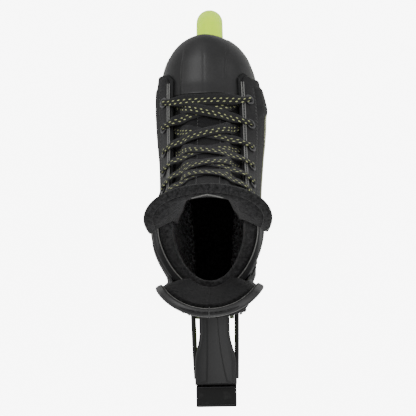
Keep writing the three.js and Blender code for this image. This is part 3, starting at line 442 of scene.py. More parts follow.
class Paint:
    # a material whose nodes are added one by one behind its principled shader
    def __init__(self, name, colour, roughness, metallic=0.0, **constants):
        self.material = bpy.data.materials.new(name)
        self.material.use_nodes = True
        self.tree = self.material.node_tree
        self.surface = self.tree.nodes["Principled BSDF"]
        self.material.diffuse_color = (*colour, 1)
        self.set("Base Color", (*colour, 1))
        self.set("Roughness", roughness)
        self.set("Metallic", metallic)
        for key, value in constants.items():
            words = {"specular": "Specular IOR Level", "coat": "Coat Weight",
                     "coatRoughness": "Coat Roughness", "sheen": "Sheen Weight",
                     "sheenRoughness": "Sheen Roughness", "subsurface": "Subsurface Weight",
                     "scatter": "Subsurface Radius", "scatterScale": "Subsurface Scale"}
            self.set(words[key], value)

    def set(self, socket, value):
        target = self.surface.inputs[socket]
        if isinstance(value, Signal):
            self.tree.links.new(value.socket, target)
        else:
            target.default_value = value

    def add(self, kind, settings=None, inputs=None, output=0):
        node = self.tree.nodes.new(kind)
        for key, value in (settings or {}).items():
            setattr(node, key, value)
        for key, value in (inputs or {}).items():
            if isinstance(value, Signal):
                self.tree.links.new(value.socket, node.inputs[key])
            else:
                node.inputs[key].default_value = value
        return Signal(self, node.outputs[output])

    def place(self, scale=(1, 1, 1)):
        # object coordinates in millimetres, stretched
        here = self.add("ShaderNodeTexCoord", output=3)
        factor = [s / millimetre for s in scale]
        return self.add("ShaderNodeMapping", {}, {0: here, 3: factor})

    def uv(self, axis):
        here = self.add("ShaderNodeUVMap", {"uv_map": "UVMap"})
        return self.add("ShaderNodeSeparateXYZ", {}, {0: here}, output=axis)

    def attribute(self, name):
        return self.add("ShaderNodeAttribute", {"attribute_name": name}, output=2)

    def noise(self, size, detail=3.0, where=None, roughness=0.55):
        # soft noise whose lumps are about size millimetres
        return self.add("ShaderNodeTexNoise", {}, {0: where or self.place(), 2: 1 / size, 3: detail,
                                                   4: roughness})

    def cells(self, size, feature="F1"):
        return self.add("ShaderNodeTexVoronoi", {"feature": feature}, {0: self.place(), 2: 1 / size})

    def blend(self, share, a, b):
        return self.add("ShaderNodeMix", {"data_type": "RGBA"}, {0: share, 6: self.full(a), 7: self.full(b)},
                        output=2)

    def full(self, colour):
        return colour if isinstance(colour, Signal) else (*colour, 1)

    def bump(self, height, depth):
        # height from 0 to 1, standing depth millimetres proud
        self.set("Normal", self.add("ShaderNodeBump", {}, {0: 1.0, 1: depth * millimetre, "Height": height}))


def urethanePaint():
    paint = Paint("limeUrethane", (0.7, 0.95, 0.008), 0.35, coat=0.15, coatRoughness=0.2, subsurface=0.2,
                  scatter=(0.6, 0.9, 0.05), scatterScale=0.004)
    across = paint.uv(1).call("ABSOLUTE")
    tread = 1 - across.between(3, 6.5)
    cloudy = paint.noise(7, 2)
    scuffs = paint.noise(0.5, 4, paint.place((1, 0.15, 0.15)))
    worn = tread * scuffs.between(0.45, 0.75)
    lime = paint.blend(cloudy.between(0.3, 0.7), (0.62, 0.92, 0.0), (0.74, 1.0, 0.004))
    paint.set("Base Color", paint.blend(worn * 0.25, lime, (0.5, 0.62, 0.05)))
    paint.set("Roughness", 0.24 + 0.3 * worn + 0.08 * cloudy)
    paint.bump(scuffs * tread + 0.15 * cloudy, 0.06)
    paint.set("Emission Color", (0.42, 0.72, 0.0, 1))  # painted light: the lime glows a little, so that it looks brighter
    paint.set("Emission Strength", 0.8)
    return paint.material


def mouldedPaint(name, colour, roughness, grain=0.35, depth=0.03, coat=0.0):
    # moulded plastic: spark-eroded grain, faint flow marks and a little polish where it is handled
    paint = Paint(name, colour, roughness, coat=coat, coatRoughness=0.3, specular=0.4)
    grit = paint.noise(grain, 2)
    flow = paint.noise(22, 3)
    light = [min(c * 1.35, 1) for c in colour]
    paint.set("Base Color", paint.blend(flow.between(0.35, 0.7), colour, light))
    paint.set("Roughness", roughness - 0.06 + 0.1 * flow + 0.06 * grit)
    paint.bump(grit + 0.4 * paint.noise(3, 2), depth)
    return paint.material


def leatherPaint(name, colour, roughness=0.5, grain=1.1, depth=0.09):
    # coated synthetic leather: small rounded cells with creases between them, larger soft wrinkles, pale
    # worn edges
    paint = Paint(name, colour, roughness, coat=0.05, coatRoughness=0.35, specular=0.28)
    wander = paint.noise(4, 2)
    cell = paint.cells(grain)
    crease = paint.cells(grain * 2.6, feature="DISTANCE_TO_EDGE").between(0, 0.12)
    fine = paint.noise(0.35, 2)
    height = 0.55 * crease + 0.35 * (1 - cell) + 0.1 * fine + 0.5 * wander
    light = [c * 1.5 for c in colour]
    tone = paint.blend(wander.between(0.35, 0.65), colour, light)
    worn = paint.attribute("border") * 0.35
    paint.set("Base Color", paint.blend(worn, tone, [c * 2.6 for c in colour]))
    paint.set("Roughness", roughness + 0.14 * (1 - crease) + 0.08 * wander)
    paint.bump(height, depth)
    return paint.material


def feltPaint(name, colour, nap=0.5, depth=0.3, sheen=0.5):
    # brushed fabric: clumped short fibres over a soft weave
    paint = Paint(name, colour, 0.95, sheen=sheen, sheenRoughness=0.5, specular=0.05)
    fibre = paint.noise(nap * 0.5, 4, roughness=0.7)
    clump = paint.noise(nap * 3.2, 3)
    tone = 0.65 * fibre + 0.35 * clump
    paint.set("Base Color", paint.blend(tone.between(0.4, 0.62), [c * 0.3 for c in colour],
                                        [c * 2.8 for c in colour]))
    paint.bump(fibre * 0.6 + clump, depth)
    return paint.material


def meshPaint(name, colour, pitch=1.6):
    # knitted spacer mesh: rows of small holes set like bricks, along the piece's own surface
    paint = Paint(name, colour, 0.85, sheen=0.1, specular=0.2)
    u, v = paint.uv(0) * (10 / pitch), paint.uv(1) * (10 / pitch)
    odd = (v.call("FLOOR") * 0.5).call("FRACT")
    a = (u + odd).call("FRACT") - 0.5
    b = v.call("FRACT") - 0.5
    hole = (a * a + b * b * 0.8).call("SQRT").between(0.2, 0.38)
    fibre = paint.noise(0.3, 3)
    paint.set("Base Color", paint.blend(hole, [c * 0.3 for c in colour],
                                        paint.blend(fibre.between(0.3, 0.7), colour,
                                                    [c * 1.8 for c in colour])))
    paint.bump(hole + 0.3 * fibre, 0.35)
    return paint.material


lacePattern = {
    "rowGap": 3.0, "offset": 1.2, "pitch": 5.4, "dash": 0.38, "dashWidth": 1.15, "slant": 0.9,
    "chevron": 0.8, "rib": 0.62,
}


def lacePaint():
    # flat woven lace: fine chevron ribs, with two rows of slanted pale flecks along it
    paint = Paint("wovenLace", (0.02, 0.02, 0.021), 0.85, sheen=0.15, specular=0.25)
    u, v = paint.uv(0), paint.uv(1)
    p = lacePattern
    side = v.call("ABSOLUTE")
    row = ((v - p["offset"]).call("ABSOLUTE") - p["rowGap"] / 2).call("ABSOLUTE")
    shift = u + v * p["slant"]
    cycle = (shift / p["pitch"]).call("FRACT")
    onRow = 1 - row.between(p["dashWidth"] * 0.42, p["dashWidth"] * 0.56)
    onDash = 1 - (cycle - 0.5).call("ABSOLUTE").between(p["dash"] / 2 - 0.05, p["dash"] / 2)
    inside = onRow * onDash
    rib = ((u + side * p["chevron"]) / p["rib"]).call("FRACT")
    ribs = 1 - (rib - 0.5).call("ABSOLUTE") * 2
    strand = ((v / 0.7).call("FRACT") - 0.5).call("ABSOLUTE") * 2
    fibre = paint.noise(0.25, 3)
    black = paint.blend(fibre.between(0.3, 0.75), (0.008, 0.008, 0.009), (0.034, 0.034, 0.035))
    cream = paint.blend(fibre.between(0.3, 0.7), (0.6, 0.64, 0.26), (0.95, 1.0, 0.5))
    paint.set("Base Color", paint.blend(inside * (0.55 + 0.45 * ribs), black, cream))
    paint.bump(0.6 * ribs + 0.25 * strand + 0.2 * fibre + 0.35 * inside, 0.22)
    return paint.material


def metalPaint(name, colour, roughness, brushed=True):
    paint = Paint(name, colour, roughness, 1.0)
    scratch = paint.noise(0.25, 3, paint.place((0.2, 1, 1) if brushed else (1, 1, 1)))
    paint.set("Roughness", roughness - 0.06 + 0.16 * scratch)
    paint.set("Base Color", paint.blend(paint.noise(6, 2), [c * 0.8 for c in colour], colour))
    paint.bump(scratch, 0.01)
    return paint.material


def rubberPaint():
    # brake rubber: matt, with pale dust and small pits
    paint = Paint("brakeRubber", (0.018, 0.018, 0.018), 0.85, specular=0.3)
    dust, pit = paint.noise(9, 4), paint.cells(0.9)
    paint.set("Base Color", paint.blend(dust.between(0.5, 0.8) * 0.5, (0.014, 0.014, 0.014),
                                        (0.06, 0.06, 0.058)))
    paint.set("Roughness", 0.72 + 0.2 * dust)
    paint.bump(pit.between(0, 0.25) + 0.5 * dust, 0.12)
    return paint.material


def threadPaint(name, colour):
    paint = Paint(name, colour, 0.7, sheen=0.3)
    twist = ((paint.uv(0) * 1.6 + paint.uv(1)).call("FRACT") - 0.5).call("ABSOLUTE") * 2
    paint.set("Base Color", paint.blend(twist, [c * 0.6 for c in colour], colour))
    return paint.material


def pipingPaint(name, colour):
    # glazed edge binding: smooth, slightly uneven, with tiny wrinkles
    paint = Paint(name, colour, 0.45, coat=0.2, coatRoughness=0.3)
    wrinkle = paint.noise(1.2, 3)
    paint.set("Base Color", paint.blend(wrinkle.between(0.3, 0.7), [c * 0.7 for c in colour],
                                        [c * 1.25 for c in colour]))
    paint.bump(wrinkle, 0.12)
    return paint.material


paints = {
    "urethane": urethanePaint(),
    "hub": mouldedPaint("hubPlastic", (0.03, 0.03, 0.031), 0.38, coat=0.1),
    "frame": mouldedPaint("frameComposite", (0.022, 0.022, 0.023), 0.48, 0.4, 0.05),
    "brake": mouldedPaint("brakeComposite", (0.015, 0.015, 0.0155), 0.46, 0.4, 0.05),
    "toe": mouldedPaint("toeMoulding", (0.024, 0.024, 0.0245), 0.4, 0.6, 0.03, 0.1),
    "sole": mouldedPaint("soleMoulding", (0.02, 0.02, 0.021), 0.55, 0.5, 0.05),
    "leather": leatherPaint("bootLeather", (0.012, 0.012, 0.0125), 0.52),
    "facing": leatherPaint("facingLeather", (0.014, 0.014, 0.0145), 0.48, 0.9, 0.07),
    "binding": pipingPaint("edgeBinding", (0.026, 0.026, 0.0265)),
    "greyPiping": pipingPaint("greyPiping", (0.24, 0.24, 0.23)),
    "creamPiping": pipingPaint("creamTrim", (0.62, 0.64, 0.42)),
    "innerFelt": feltPaint("innerFelt", (0.007, 0.007, 0.0073), 0.8, 0.7, 0.12),
    # painted light: the collar's felt is painted a little paler than the same felt elsewhere, standing in for
    # light in the shaded collar
    "collarFelt": feltPaint("collarFelt", (0.024, 0.024, 0.0245), 0.8, 0.7, 0.3),
    "felt": feltPaint("brushedFelt", (0.02, 0.02, 0.0205), 0.8, 0.7, 0.25),
    # painted light: the lining is black felt painted light grey, so that the boot's shaded inside shows as
    # lit
    "lining": feltPaint("liningFelt", (0.24, 0.24, 0.245), 0.8, 0.6, 0.4),
    "mesh": meshPaint("tongueMesh", (0.009, 0.009, 0.0095)),
    "lace": lacePaint(),
    "steel": metalPaint("brightSteel", (0.6, 0.61, 0.63), 0.28),
    "blackMetal": metalPaint("blackMetal", (0.16, 0.16, 0.163), 0.32, False),
    "rubber": rubberPaint(),
    "thread": threadPaint("darkThread", (0.07, 0.07, 0.07)),
    "greyThread": threadPaint("greyThread", (0.22, 0.22, 0.21)),
    "shield": mouldedPaint("bearingShield", (0.02, 0.02, 0.022), 0.35),
}
print("paints made:", len(paints))


# Wheels, with their bearings and axles.

wheel = {
    "radius": 38, "halfWidth": 12, "crown": 12, "hubRadius": 24, "hubRim": 3, "boss": 14.2, "flank": 9.5,
    "seat": 11.3, "shoulder": 8.5, "spokes": 5, "spokeWidth": 6, "flare": 3.4, "web": 12, "sides": 112,
    "partingLine": 0.12,
}
bearing = {"radius": 11, "bore": 4.25, "half": 3.5, "place": 8.5, "outerRace": 9.5, "innerRace": 5.9}
axlePart = {
    "radius": 4, "headRadius": 6.5, "headLength": 3, "screwRadius": 2.4, "hex": 2.6, "gap": 0.3,
    "socket": 2.5,
}
railOutside, armOutside = 17.5, 22


def joined(name, pieces):
    # several closed meshes as one piece
    work = bmesh.new()
    for piece in pieces:
        work.from_mesh(piece.data)
    mesh = bpy.data.meshes.new(name)
    work.to_mesh(mesh)
    work.free()
    mesh.shade_smooth()
    for piece in pieces:
        bpy.data.objects.remove(piece)
    whole = bpy.data.objects.new(name, mesh)
    bpy.context.scene.collection.objects.link(whole)
    return whole


def wheelCentre(number):
    low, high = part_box(f"wheel_{number}_tyre")
    return [0, (low[1] + high[1]) / 2 / millimetre, (low[2] + high[2]) / 2 / millimetre]


def makeTyre(number):
    # crown: radius = R - crown (1 - cos a), less a fine parting line, and x = half width times sin a;
    # then a shoulder, the sides and the bore
    w = wheel
    a = np.radians(np.linspace(-80, 80, 65))
    radius = w["radius"] - w["crown"] * (1 - np.cos(a)) - w["partingLine"] * bell(np.degrees(a), 1.6)
    across = w["halfWidth"] * np.sin(a)
    crown = np.stack([radius, across], -1)
    side = rounded([crown[-1], (26.6, 11.75), (25.6, 10.6), (24.4, 9.9), (24.3, 9.3), (24.3, 0)], 0.7, 5)[1:]
    profile = np.concatenate([side[::-1][:-1] * [1, -1], crown, side])[1:]
    profile = np.concatenate([profile, profile[:1]])
    piece = turnedPiece(f"tyre{number}", profile, wheelCentre(number), sides=w["sides"])
    finishPiece(piece, paints["urethane"], f"wheel_{number}", [f"wheel_{number}_tyre"])


def spokeRing(centre):
    # each spoke is a waisted bar: width = 6 + 3.4 u^4 from the core at u = -1 to the rim at u = 1
    w = wheel
    spokes = []
    for k in range(w["spokes"]):
        turn = 2 * math.pi * (k + 0.5) / w["spokes"]
        u = np.linspace(-1, 1, 13)
        out = mixed(w["boss"] - 0.8, w["hubRadius"] - w["hubRim"] + 0.8, (u + 1) / 2)
        path = np.stack([0 * u, out * math.cos(turn), out * math.sin(turn)], -1) + centre
        ring = roundBar(1, 1, 20)
        sizes = np.stack([w["web"] - 2 + 1.4 * u ** 4, w["spokeWidth"] + w["flare"] * u ** 4], -1)
        profile = ring[None] * sizes[:, None]
        spokes.append(sweep("spoke", path, np.tile([1.0, 0, 0], (len(u), 1)), profile))
    return spokes


def makeHub(number):
    w, centre = wheel, wheelCentre(number)
    inside, f = w["hubRadius"] - w["hubRim"], w["flank"]
    rim = [(w["hubRadius"], -f), (w["hubRadius"], f), (inside + 0.6, f), (inside, f - 1.2), (inside - 0.5, 0),
           (inside, 1.2 - f), (inside + 0.6, -f), (w["hubRadius"], -f)]
    h, seat, step = w["halfWidth"], w["seat"], w["halfWidth"] - 7.3
    boss = w["boss"]
    core = [(boss - 0.6, -h), (boss, -h + 1), (boss + 0.4, 0), (boss, h - 1), (boss - 0.6, h),
            (seat, h), (seat, step), (w["shoulder"], step), (w["shoulder"], -step), (seat, -step), (seat, -h),
            (boss - 0.6, -h)]
    parts = [turnedPiece("rim", rounded(rim, 0.5), centre, sides=96),
             turnedPiece("core", rounded(core, 0.4), centre, sides=72)] + spokeRing(np.asarray(centre))
    piece = joined(f"hub{number}", parts)
    finishPiece(piece, paints["hub"], f"wheel_{number}", [f"wheel_{number}_hub"])


def makeBearing(number, side, word):
    b, centre = bearing, wheelCentre(number)
    h, face = b["half"], b["half"] - 0.5
    ring = [(b["bore"], -h), (b["innerRace"], -h), (b["innerRace"], -face), (b["outerRace"], -face),
            (b["outerRace"], -h), (b["radius"], -h), (b["radius"], h), (b["outerRace"], h),
            (b["outerRace"], face),
            (b["innerRace"], face), (b["innerRace"], h), (b["bore"], h), (b["bore"], -h)]
    centre[0] = side * b["place"]
    piece = turnedPiece(f"bearing{number}{word}", rounded(ring, 0.25, 3), centre, sides=64)
    finishPiece(piece, paints["steel"], f"wheel_{number}",
                [f"wheel_{number}_bearing_{word.lower()}"])
    seal = [(b["innerRace"] + 0.1, 0), (b["innerRace"] + 0.1, 0.3), (7.2, 0.36), (7.7, 0.2), (8.2, 0.36),
            (b["outerRace"] - 0.1, 0.3), (b["outerRace"] - 0.1, 0), (b["innerRace"] + 0.1, 0)]
    flat = np.asarray(seal) * [1, side] + [0, side * (face + 0.01)]
    shield = turnedPiece(f"bearingShield{number}{word}", rounded(flat, 0.1, 3), centre, sides=64)
    finishPiece(shield, paints["shield"], f"wheel_{number}")


def hexagon(socket):
    # the socket's rows become six-sided: radius = apothem / cos of the angle to the nearest flat's middle
    def wave(radius, along, turn):
        off = (turn + math.pi / 6) % (math.pi / 3) - math.pi / 6
        return np.where(np.abs(radius - socket) < 0.01, radius / np.cos(off), radius), along
    return wave


def makeAxle(number, grip):
    # the axle's head is on the inner side and its screw comes from the outer side, both with hexagonal
    # sockets
    a = axlePart
    centre, face = wheelCentre(number), grip + a["gap"]
    end, deep = face + a["headLength"], face + a["headLength"] - a["socket"]
    head = [(0, deep), (a["hex"], deep), (a["hex"], end - 0.35), (a["hex"] + 0.5, end),
            (a["headRadius"] - 1.3, end), (a["headRadius"], end - 1.3), (a["headRadius"], face)]
    shank = rounded(head + [(a["radius"], face), (a["radius"], 0.6 - grip), (a["radius"] - 0.4, 0.2 - grip),
                            (0, 0.2 - grip)], 0.2, 3)
    piece = turnedPiece(f"axle{number}", shank * [1, -1], centre, sides=72, wave=hexagon(a["hex"]))
    finishPiece(piece, paints["steel"], "skate", [f"axle_{number}"])
    stem = rounded(head + [(a["screwRadius"], face), (a["screwRadius"], grip - 1.2), (0, grip - 1.2)], 0.2, 3)
    screw = turnedPiece(f"axleScrew{number}", stem, centre, sides=72, wave=hexagon(a["hex"]))
    finishPiece(screw, paints["steel"], "skate", [f"axle_screw_{number}"])


axles = [wheelCentre(number)[1] for number in (1, 2, 3, 4)]
for number in (1, 2, 3, 4):
    makeTyre(number)
    makeHub(number)
    for side, word in ((-1, "Inner"), (1, "Outer")):
        makeBearing(number, side, word)
    makeAxle(number, armOutside if number == 4 else railOutside)
    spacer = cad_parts[f"wheel_{number}_spacer"]
    spacer.data.materials.clear()
    spacer.data.materials.append(paints["steel"])
print("wheels and axles made")


# The frame under the boot.

chassis = {
    "railIn": 13.5, "railWall": 4, "boss": 9.8, "axleZ": 38, "frontFrom": 74, "frontTo": 141,
    "rearFrom": -98, "rearTo": -26, "halfWidth": 29, "arch": 69, "wall": 4, "bevel": 0.7, "window": 17,
    "windowLow": 54,
}
rearAxle = axles[3]
bolts = [(axles[0] + axles[1]) / 2, (axles[2] + axles[3]) / 2]
platformCorner = [(0, 14), (3, 8), (8.5, 3), (11.5, 0)]  # in from the side and from the front end


def frameTop(y):
    return solePlane(y) - 4.5


def bent(a, control, b, steps=14):
    # a quadratic curve from a to b, without its first point
    a, control, b = (np.asarray(point, float) for point in (a, control, b))
    f = np.linspace(0, 1, steps + 1)[1:, None]
    return (1 - f) ** 2 * a + 2 * f * (1 - f) * control + f ** 2 * b


def arc(centre, radius, start, stop, steps=20):
    a = np.radians(np.linspace(start, stop, steps + 1))
    return np.stack([centre[0] + radius * np.cos(a), centre[1] + radius * np.sin(a)], -1)


def plate(name, outlines, x0, x1, bevel):
    # flat outlines in y and z, the first one the edge and the rest holes, filled and given a wall from x0
    # to x1
    flat = bpy.data.curves.new(name, "CURVE")
    flat.dimensions, flat.fill_mode = "2D", "BOTH"
    flat.extrude = (abs(x1 - x0) / 2 - bevel) * millimetre
    flat.bevel_depth, flat.bevel_resolution, flat.offset = bevel * millimetre, 3, -bevel * millimetre
    for outline in outlines:
        points = np.asarray(outline, float) * millimetre
        spline = flat.splines.new("POLY")
        spline.points.add(len(points) - 1)
        rows = np.concatenate([points, np.zeros((len(points), 1)), np.ones((len(points), 1))], 1)
        spline.points.foreach_set("co", rows.ravel())
        spline.use_cyclic_u = True
    holder = bpy.data.objects.new(name, flat)
    bpy.context.scene.collection.objects.link(holder)
    mesh = bpy.data.meshes.new_from_object(holder.evaluated_get(bpy.context.evaluated_depsgraph_get()))
    bpy.data.objects.remove(holder)
    y, z, x = pointsOf(mesh).T
    setPoints(mesh, np.stack([x + (x0 + x1) / 2 * millimetre, y, z], -1))
    piece = bpy.data.objects.new(name, mesh)
    bpy.context.scene.collection.objects.link(piece)
    mesh.materials.clear()
    tidy(piece)
    mesh.shade_smooth()
    return piece


def railOutline():
    # the rail's side view, from the front axle up and back along the platforms, and forward again under
    # the axles
    c, z = chassis, chassis["axleZ"]
    first, b = axles[0], chassis["boss"]
    line = [[(first + b, z), (first + b - 1, z + 10)]]
    line.append(bent(line[-1][-1], (first + 6, z + 34), (c["frontTo"], frameTop(c["frontTo"]) - c["wall"])))
    line.append([(c["frontTo"], frameTop(c["frontTo"])), (c["frontFrom"], frameTop(c["frontFrom"]))])
    line.append(bent(line[-1][-1], (c["frontFrom"] - 10, c["arch"]), (c["frontFrom"] - 26, c["arch"])))
    line.append([(c["rearTo"] + 24, c["arch"])])
    line.append(bent(line[-1][-1], (c["rearTo"] + 10, c["arch"] + 2), (c["rearTo"], frameTop(c["rearTo"]))))
    line.append([(c["rearFrom"], frameTop(c["rearFrom"])),
                 (c["rearFrom"], frameTop(c["rearFrom"]) - c["wall"])])
    line.append(bent(line[-1][-1], (rearAxle - b + 2, z + 30), (rearAxle - b, z)))
    for k, y in enumerate(axles[::-1]):
        line.append(arc((y, z), b, 180, 360)[1:])
        if k < 3:
            following = axles[::-1][k + 1]
            line.append(bent((y + b, z), ((y + following) / 2, z + 20), (following - b, z))[:-1])
    return np.concatenate([np.asarray(part, float) for part in line])[:-1]


def windowOutline(middle, grow=0.0):
    # a rounded trapezium, wide at the bottom
    c = chassis
    w, low, high = c["window"] + grow, c["windowLow"] - grow, c["arch"] + 1 + grow
    corners = [(middle - w, low), (middle + w, low), (middle + w * 0.55, high), (middle - w * 0.55, high)]
    return rounded(corners + corners[:1], 4, 7)[:-1]


def sweepLoop(name, path, across, profile):
    # a closed sweep: the path's two ends meet
    path = np.asarray(path, float)
    ahead = unit(np.roll(path, -1, 0) - np.roll(path, 1, 0))
    across = unit(across - (across * ahead).sum(-1, keepdims=True) * ahead)
    out = np.cross(ahead, across)
    points = path[:, None] + profile[None, :, :1] * across[:, None] + profile[None, :, 1:] * out[:, None]
    faces = gridFaces(len(path), len(profile), closeRows=True, closeColumns=True)
    return tidy(makeMesh(name, points, faces))


def makePlatform(low, high, corner):
    # a plate with cut front corners, sloped like the sole: z = the frame's top - half the wall + the
    # plate's own height
    c = chassis
    side = [(c["halfWidth"] - across, high - back) for across, back in corner]
    half = [(c["halfWidth"], low)] + side
    outline = rounded(half + [(-x, y) for x, y in half[::-1]] + half[:1], 2.5, 5)[:-1]
    piece = plate("platform", [outline], -c["wall"] / 2, c["wall"] / 2, c["bevel"])
    up, x, y = pointsOf(piece.data).T
    z = up + (frameTop(y / millimetre) - c["wall"] / 2) * millimetre
    setPoints(piece.data, np.stack([x, y, z], -1))
    return tidy(piece)


def makeFrame():
    # two rails with axle holes and windows, two platforms with gussets, a web between the rails, and
    # raised rings
    c = chassis
    x0, x1 = c["railIn"], c["railIn"] + c["railWall"]
    holes = [arc((y, c["axleZ"]), 4.25, 0, 360, 32)[:-1] for y in axles]
    outlines = [railOutline()] + holes + [windowOutline(y) for y in bolts]
    parts = [plate("rail", outlines, side * x0, side * x1, c["bevel"]) for side in (-1, 1)]
    for low, high, corner in ((c["frontFrom"], c["frontTo"], platformCorner),
                              (c["rearFrom"], c["rearTo"], [(0, 3), (3, 0)])):
        parts.append(makePlatform(low, high, corner))
        for side in (-1, 1):  # gussets between the rail and the platform
            for y in np.linspace(low + 9, high - 16, 4):
                top = frameTop(y) - c["wall"] + 0.3
                points = [(side * (x1 - 0.4), top), (side * (c["halfWidth"] - 1.5), top),
                          (side * (x1 - 0.4), top - 10)]
                gusset = plate("gusset", [points], -1.2, 1.2, 0.4)
                swapped = ((0, 1, 0, 0), (1, 0, 0, y * millimetre), (0, 0, 1, 0), (0, 0, 0, 1))  # x for y
                gusset.data.transform(Matrix(swapped))
                parts.append(tidy(gusset))
    middle = (axles[1] + axles[2]) / 2
    web = [(middle - 6, c["arch"]), (middle - 6, c["arch"] - 5), (middle + 6, c["arch"] - 5),
           (middle + 6, c["arch"])]
    parts.append(plate("web", [web], -x0 - 1, x0 + 1, 0.8))
    for side in (-1, 1):
        for y in bolts:  # a raised lip round each window
            edge = windowOutline(y, 1.6)
            path = np.concatenate([np.full((len(edge), 1), side * (x1 + 0.05)), edge], 1)
            parts.append(sweepLoop("lip", path, np.tile([side * 1.0, 0, 0], (len(path), 1)), disc(1.0, 10)))
        for k, y in enumerate(axles):
            inner = [(4.3, 12.45), (6.2, 12.45), (7.4, 13.8), (4.3, 13.8), (4.3, 12.45)]
            seat = rounded(np.asarray(inner) * [1, side], 0.3)
            parts.append(turnedPiece("seat", seat, (0, y, c["axleZ"]), sides=48))
            if k < 3:
                ring = [(7.1, x1 - 0.3), (9.6, x1 - 0.3), (9.2, x1 + 0.9), (7.4, x1 + 0.9), (7.1, x1 - 0.3)]
                ring = rounded(np.asarray(ring) * [1, side], 0.4)
                parts.append(turnedPiece("ring", ring, (0, y, c["axleZ"]), sides=56))
    piece = joined("wheelFrame", parts)
    finishPiece(piece, paints["frame"], "skate", ["frame"])


def makeBolt(word, y):
    # a button-headed bolt from below through the platform, square to the sole's slope
    head, wall = 2.4, 4.3
    profile = [(0, -wall - 0.9), (2.2, -wall - 0.9), (2.2, -wall - head + 0.3), (2.5, -wall - head),
               (3.6, -wall - head),
               (5, -wall - 0.6), (5, -wall), (2.5, -wall), (2.5, 3.6), (0, 3.6)]
    piece = turnedPiece(f"mountBolt{word}", rounded(profile, 0.3, 3), (0, 0, 0), "z", 56, hexagon(2.2))
    slope = Matrix.Rotation(-math.atan(boot["soleSlope"]), 4, "X")
    piece.data.transform(Matrix.Translation(Vector((0, y, frameTop(y))) * millimetre) @ slope)
    finishPiece(piece, paints["steel"], "skate", [f"mount_bolt_{word.lower()}"])


makeFrame()
makeBolt("Front", bolts[0])
makeBolt("Rear", bolts[1])
print("frame made")


# The heel brake, on the rear axle.

brake = {
    "reach": 90, "clear": 41.2, "front": rearAxle - 6, "back": rearAxle - 70.5, "ridgeFront": 84,
    "ridgeBack": 53, "halfFront": 13.6, "halfBack": 19.0, "armInside": 18, "armRadius": 9, "panel": 0.7,
    "padHalf": 18.2, "padLift": 11, "padTop": 48, "square": 9, "armTaper": (2.4, 1.2),
}


def makeBrakeHousing():
    # a loft along y: at a from -90 to 90 degrees the section is x = w sin a / m and z = low + h cos a /
    # m, with m = (|sin a|^9 + |cos a|^9)^(1/9), which squares it off; its underside follows the rear
    # wheel, then the pad
    b, z = brake, chassis["axleZ"]
    length = b["front"] - b["back"]
    y = b["front"] - length * bordered(90, 2.2, length)[:, None]
    a = np.radians(np.linspace(-90, 90, 121))[None, :]
    y, a = np.broadcast_arrays(y, a)
    behind = (b["front"] - y) / length
    swell = smoothStep(22, 52, rearAxle - y)
    half = mixed(b["halfFront"], b["halfBack"], swell)
    top = mixed(b["ridgeFront"], b["ridgeBack"], 0.25 * behind ** 2 * (3 - 2 * behind) + 0.75 * behind)
    off = rearAxle - y
    wheelArc = z + np.sqrt(np.maximum(b["clear"] ** 2 - off ** 2, 8 ** 2))
    overPad = mixed(46, 36, smoothStep(40.4, 50, off)) + 1.5 * smoothStep(50, 70, off)
    under = np.where(off < 40.4, wheelArc, overPad)
    m = (np.abs(np.sin(a)) ** b["square"] + np.abs(np.cos(a)) ** b["square"]) ** (1 / b["square"])
    toFace = np.minimum(np.minimum(b["front"] - y, y - b["back"]) / 2.2, 1)
    share = np.sqrt(np.maximum(1 - (1 - toFace) ** 2, 0))
    x = (half - 0.8 * (1 - share)) * np.sin(a) / m
    spine = np.where(x < 0, 6 + 2 * behind ** 2, 2.5 + 8 * behind ** 2)  # the middle panel's half widths
    toEnd = smoothStep(b["back"] + 2.6, b["back"] + 4.4, y + 6 * np.clip((np.abs(x) - 9) / 9, -1, 1) ** 2)
    panel = smoothStep(0, 0.9, np.abs(x) - spine) * smoothStep(0, 0.9, half - 1.6 - np.abs(x)) * toEnd
    crown = 1.6 * (1 - (x / half) ** 2)
    height = (top - under + crown) * np.cos(a) / m - b["panel"] * panel * (np.cos(a) > 0.5)
    outer = np.stack([x, y, under + height * share], -1)
    inner = np.stack([x, y, under + 0 * x], -1)
    body = shell("housing", outer, inner)
    back = b["back"] + 6
    arm = [arc((rearAxle, z), b["armRadius"], 90, -90, 24), [(rearAxle - 43, z - 5), (rearAxle - 52, z - 1)],
           [(back, z + 1), (back, z + 12), (rearAxle - 46, z + 17), (rearAxle - 36, z + 16)]]
    arm = [np.asarray(part, float) for part in arm] + [[(rearAxle, z + b["armRadius"])]]
    outline = rounded(np.concatenate(arm), 2, 3)[:-1]
    hole = arc((rearAxle, z), 4.3, 0, 360, 32)[:-1]
    parts = [body]
    for side in (-1, 1):
        limb = plate("arm", [outline, hole], side * b["armInside"], side * armOutside, 0.9)
        points = pointsOf(limb.data)  # each arm leans inwards towards the back
        taper = b["armTaper"][0 if side < 0 else 1]
        inward = taper * np.maximum(rearAxle - 9 - points[:, 1] / millimetre, 0) / 60
        points[:, 0] -= side * inward * millimetre
        setPoints(limb.data, points)
        parts.append(limb)
    piece = joined("brakeHousing", parts)
    finishPiece(piece, paints["brake"], "skate", ["brake_housing"])


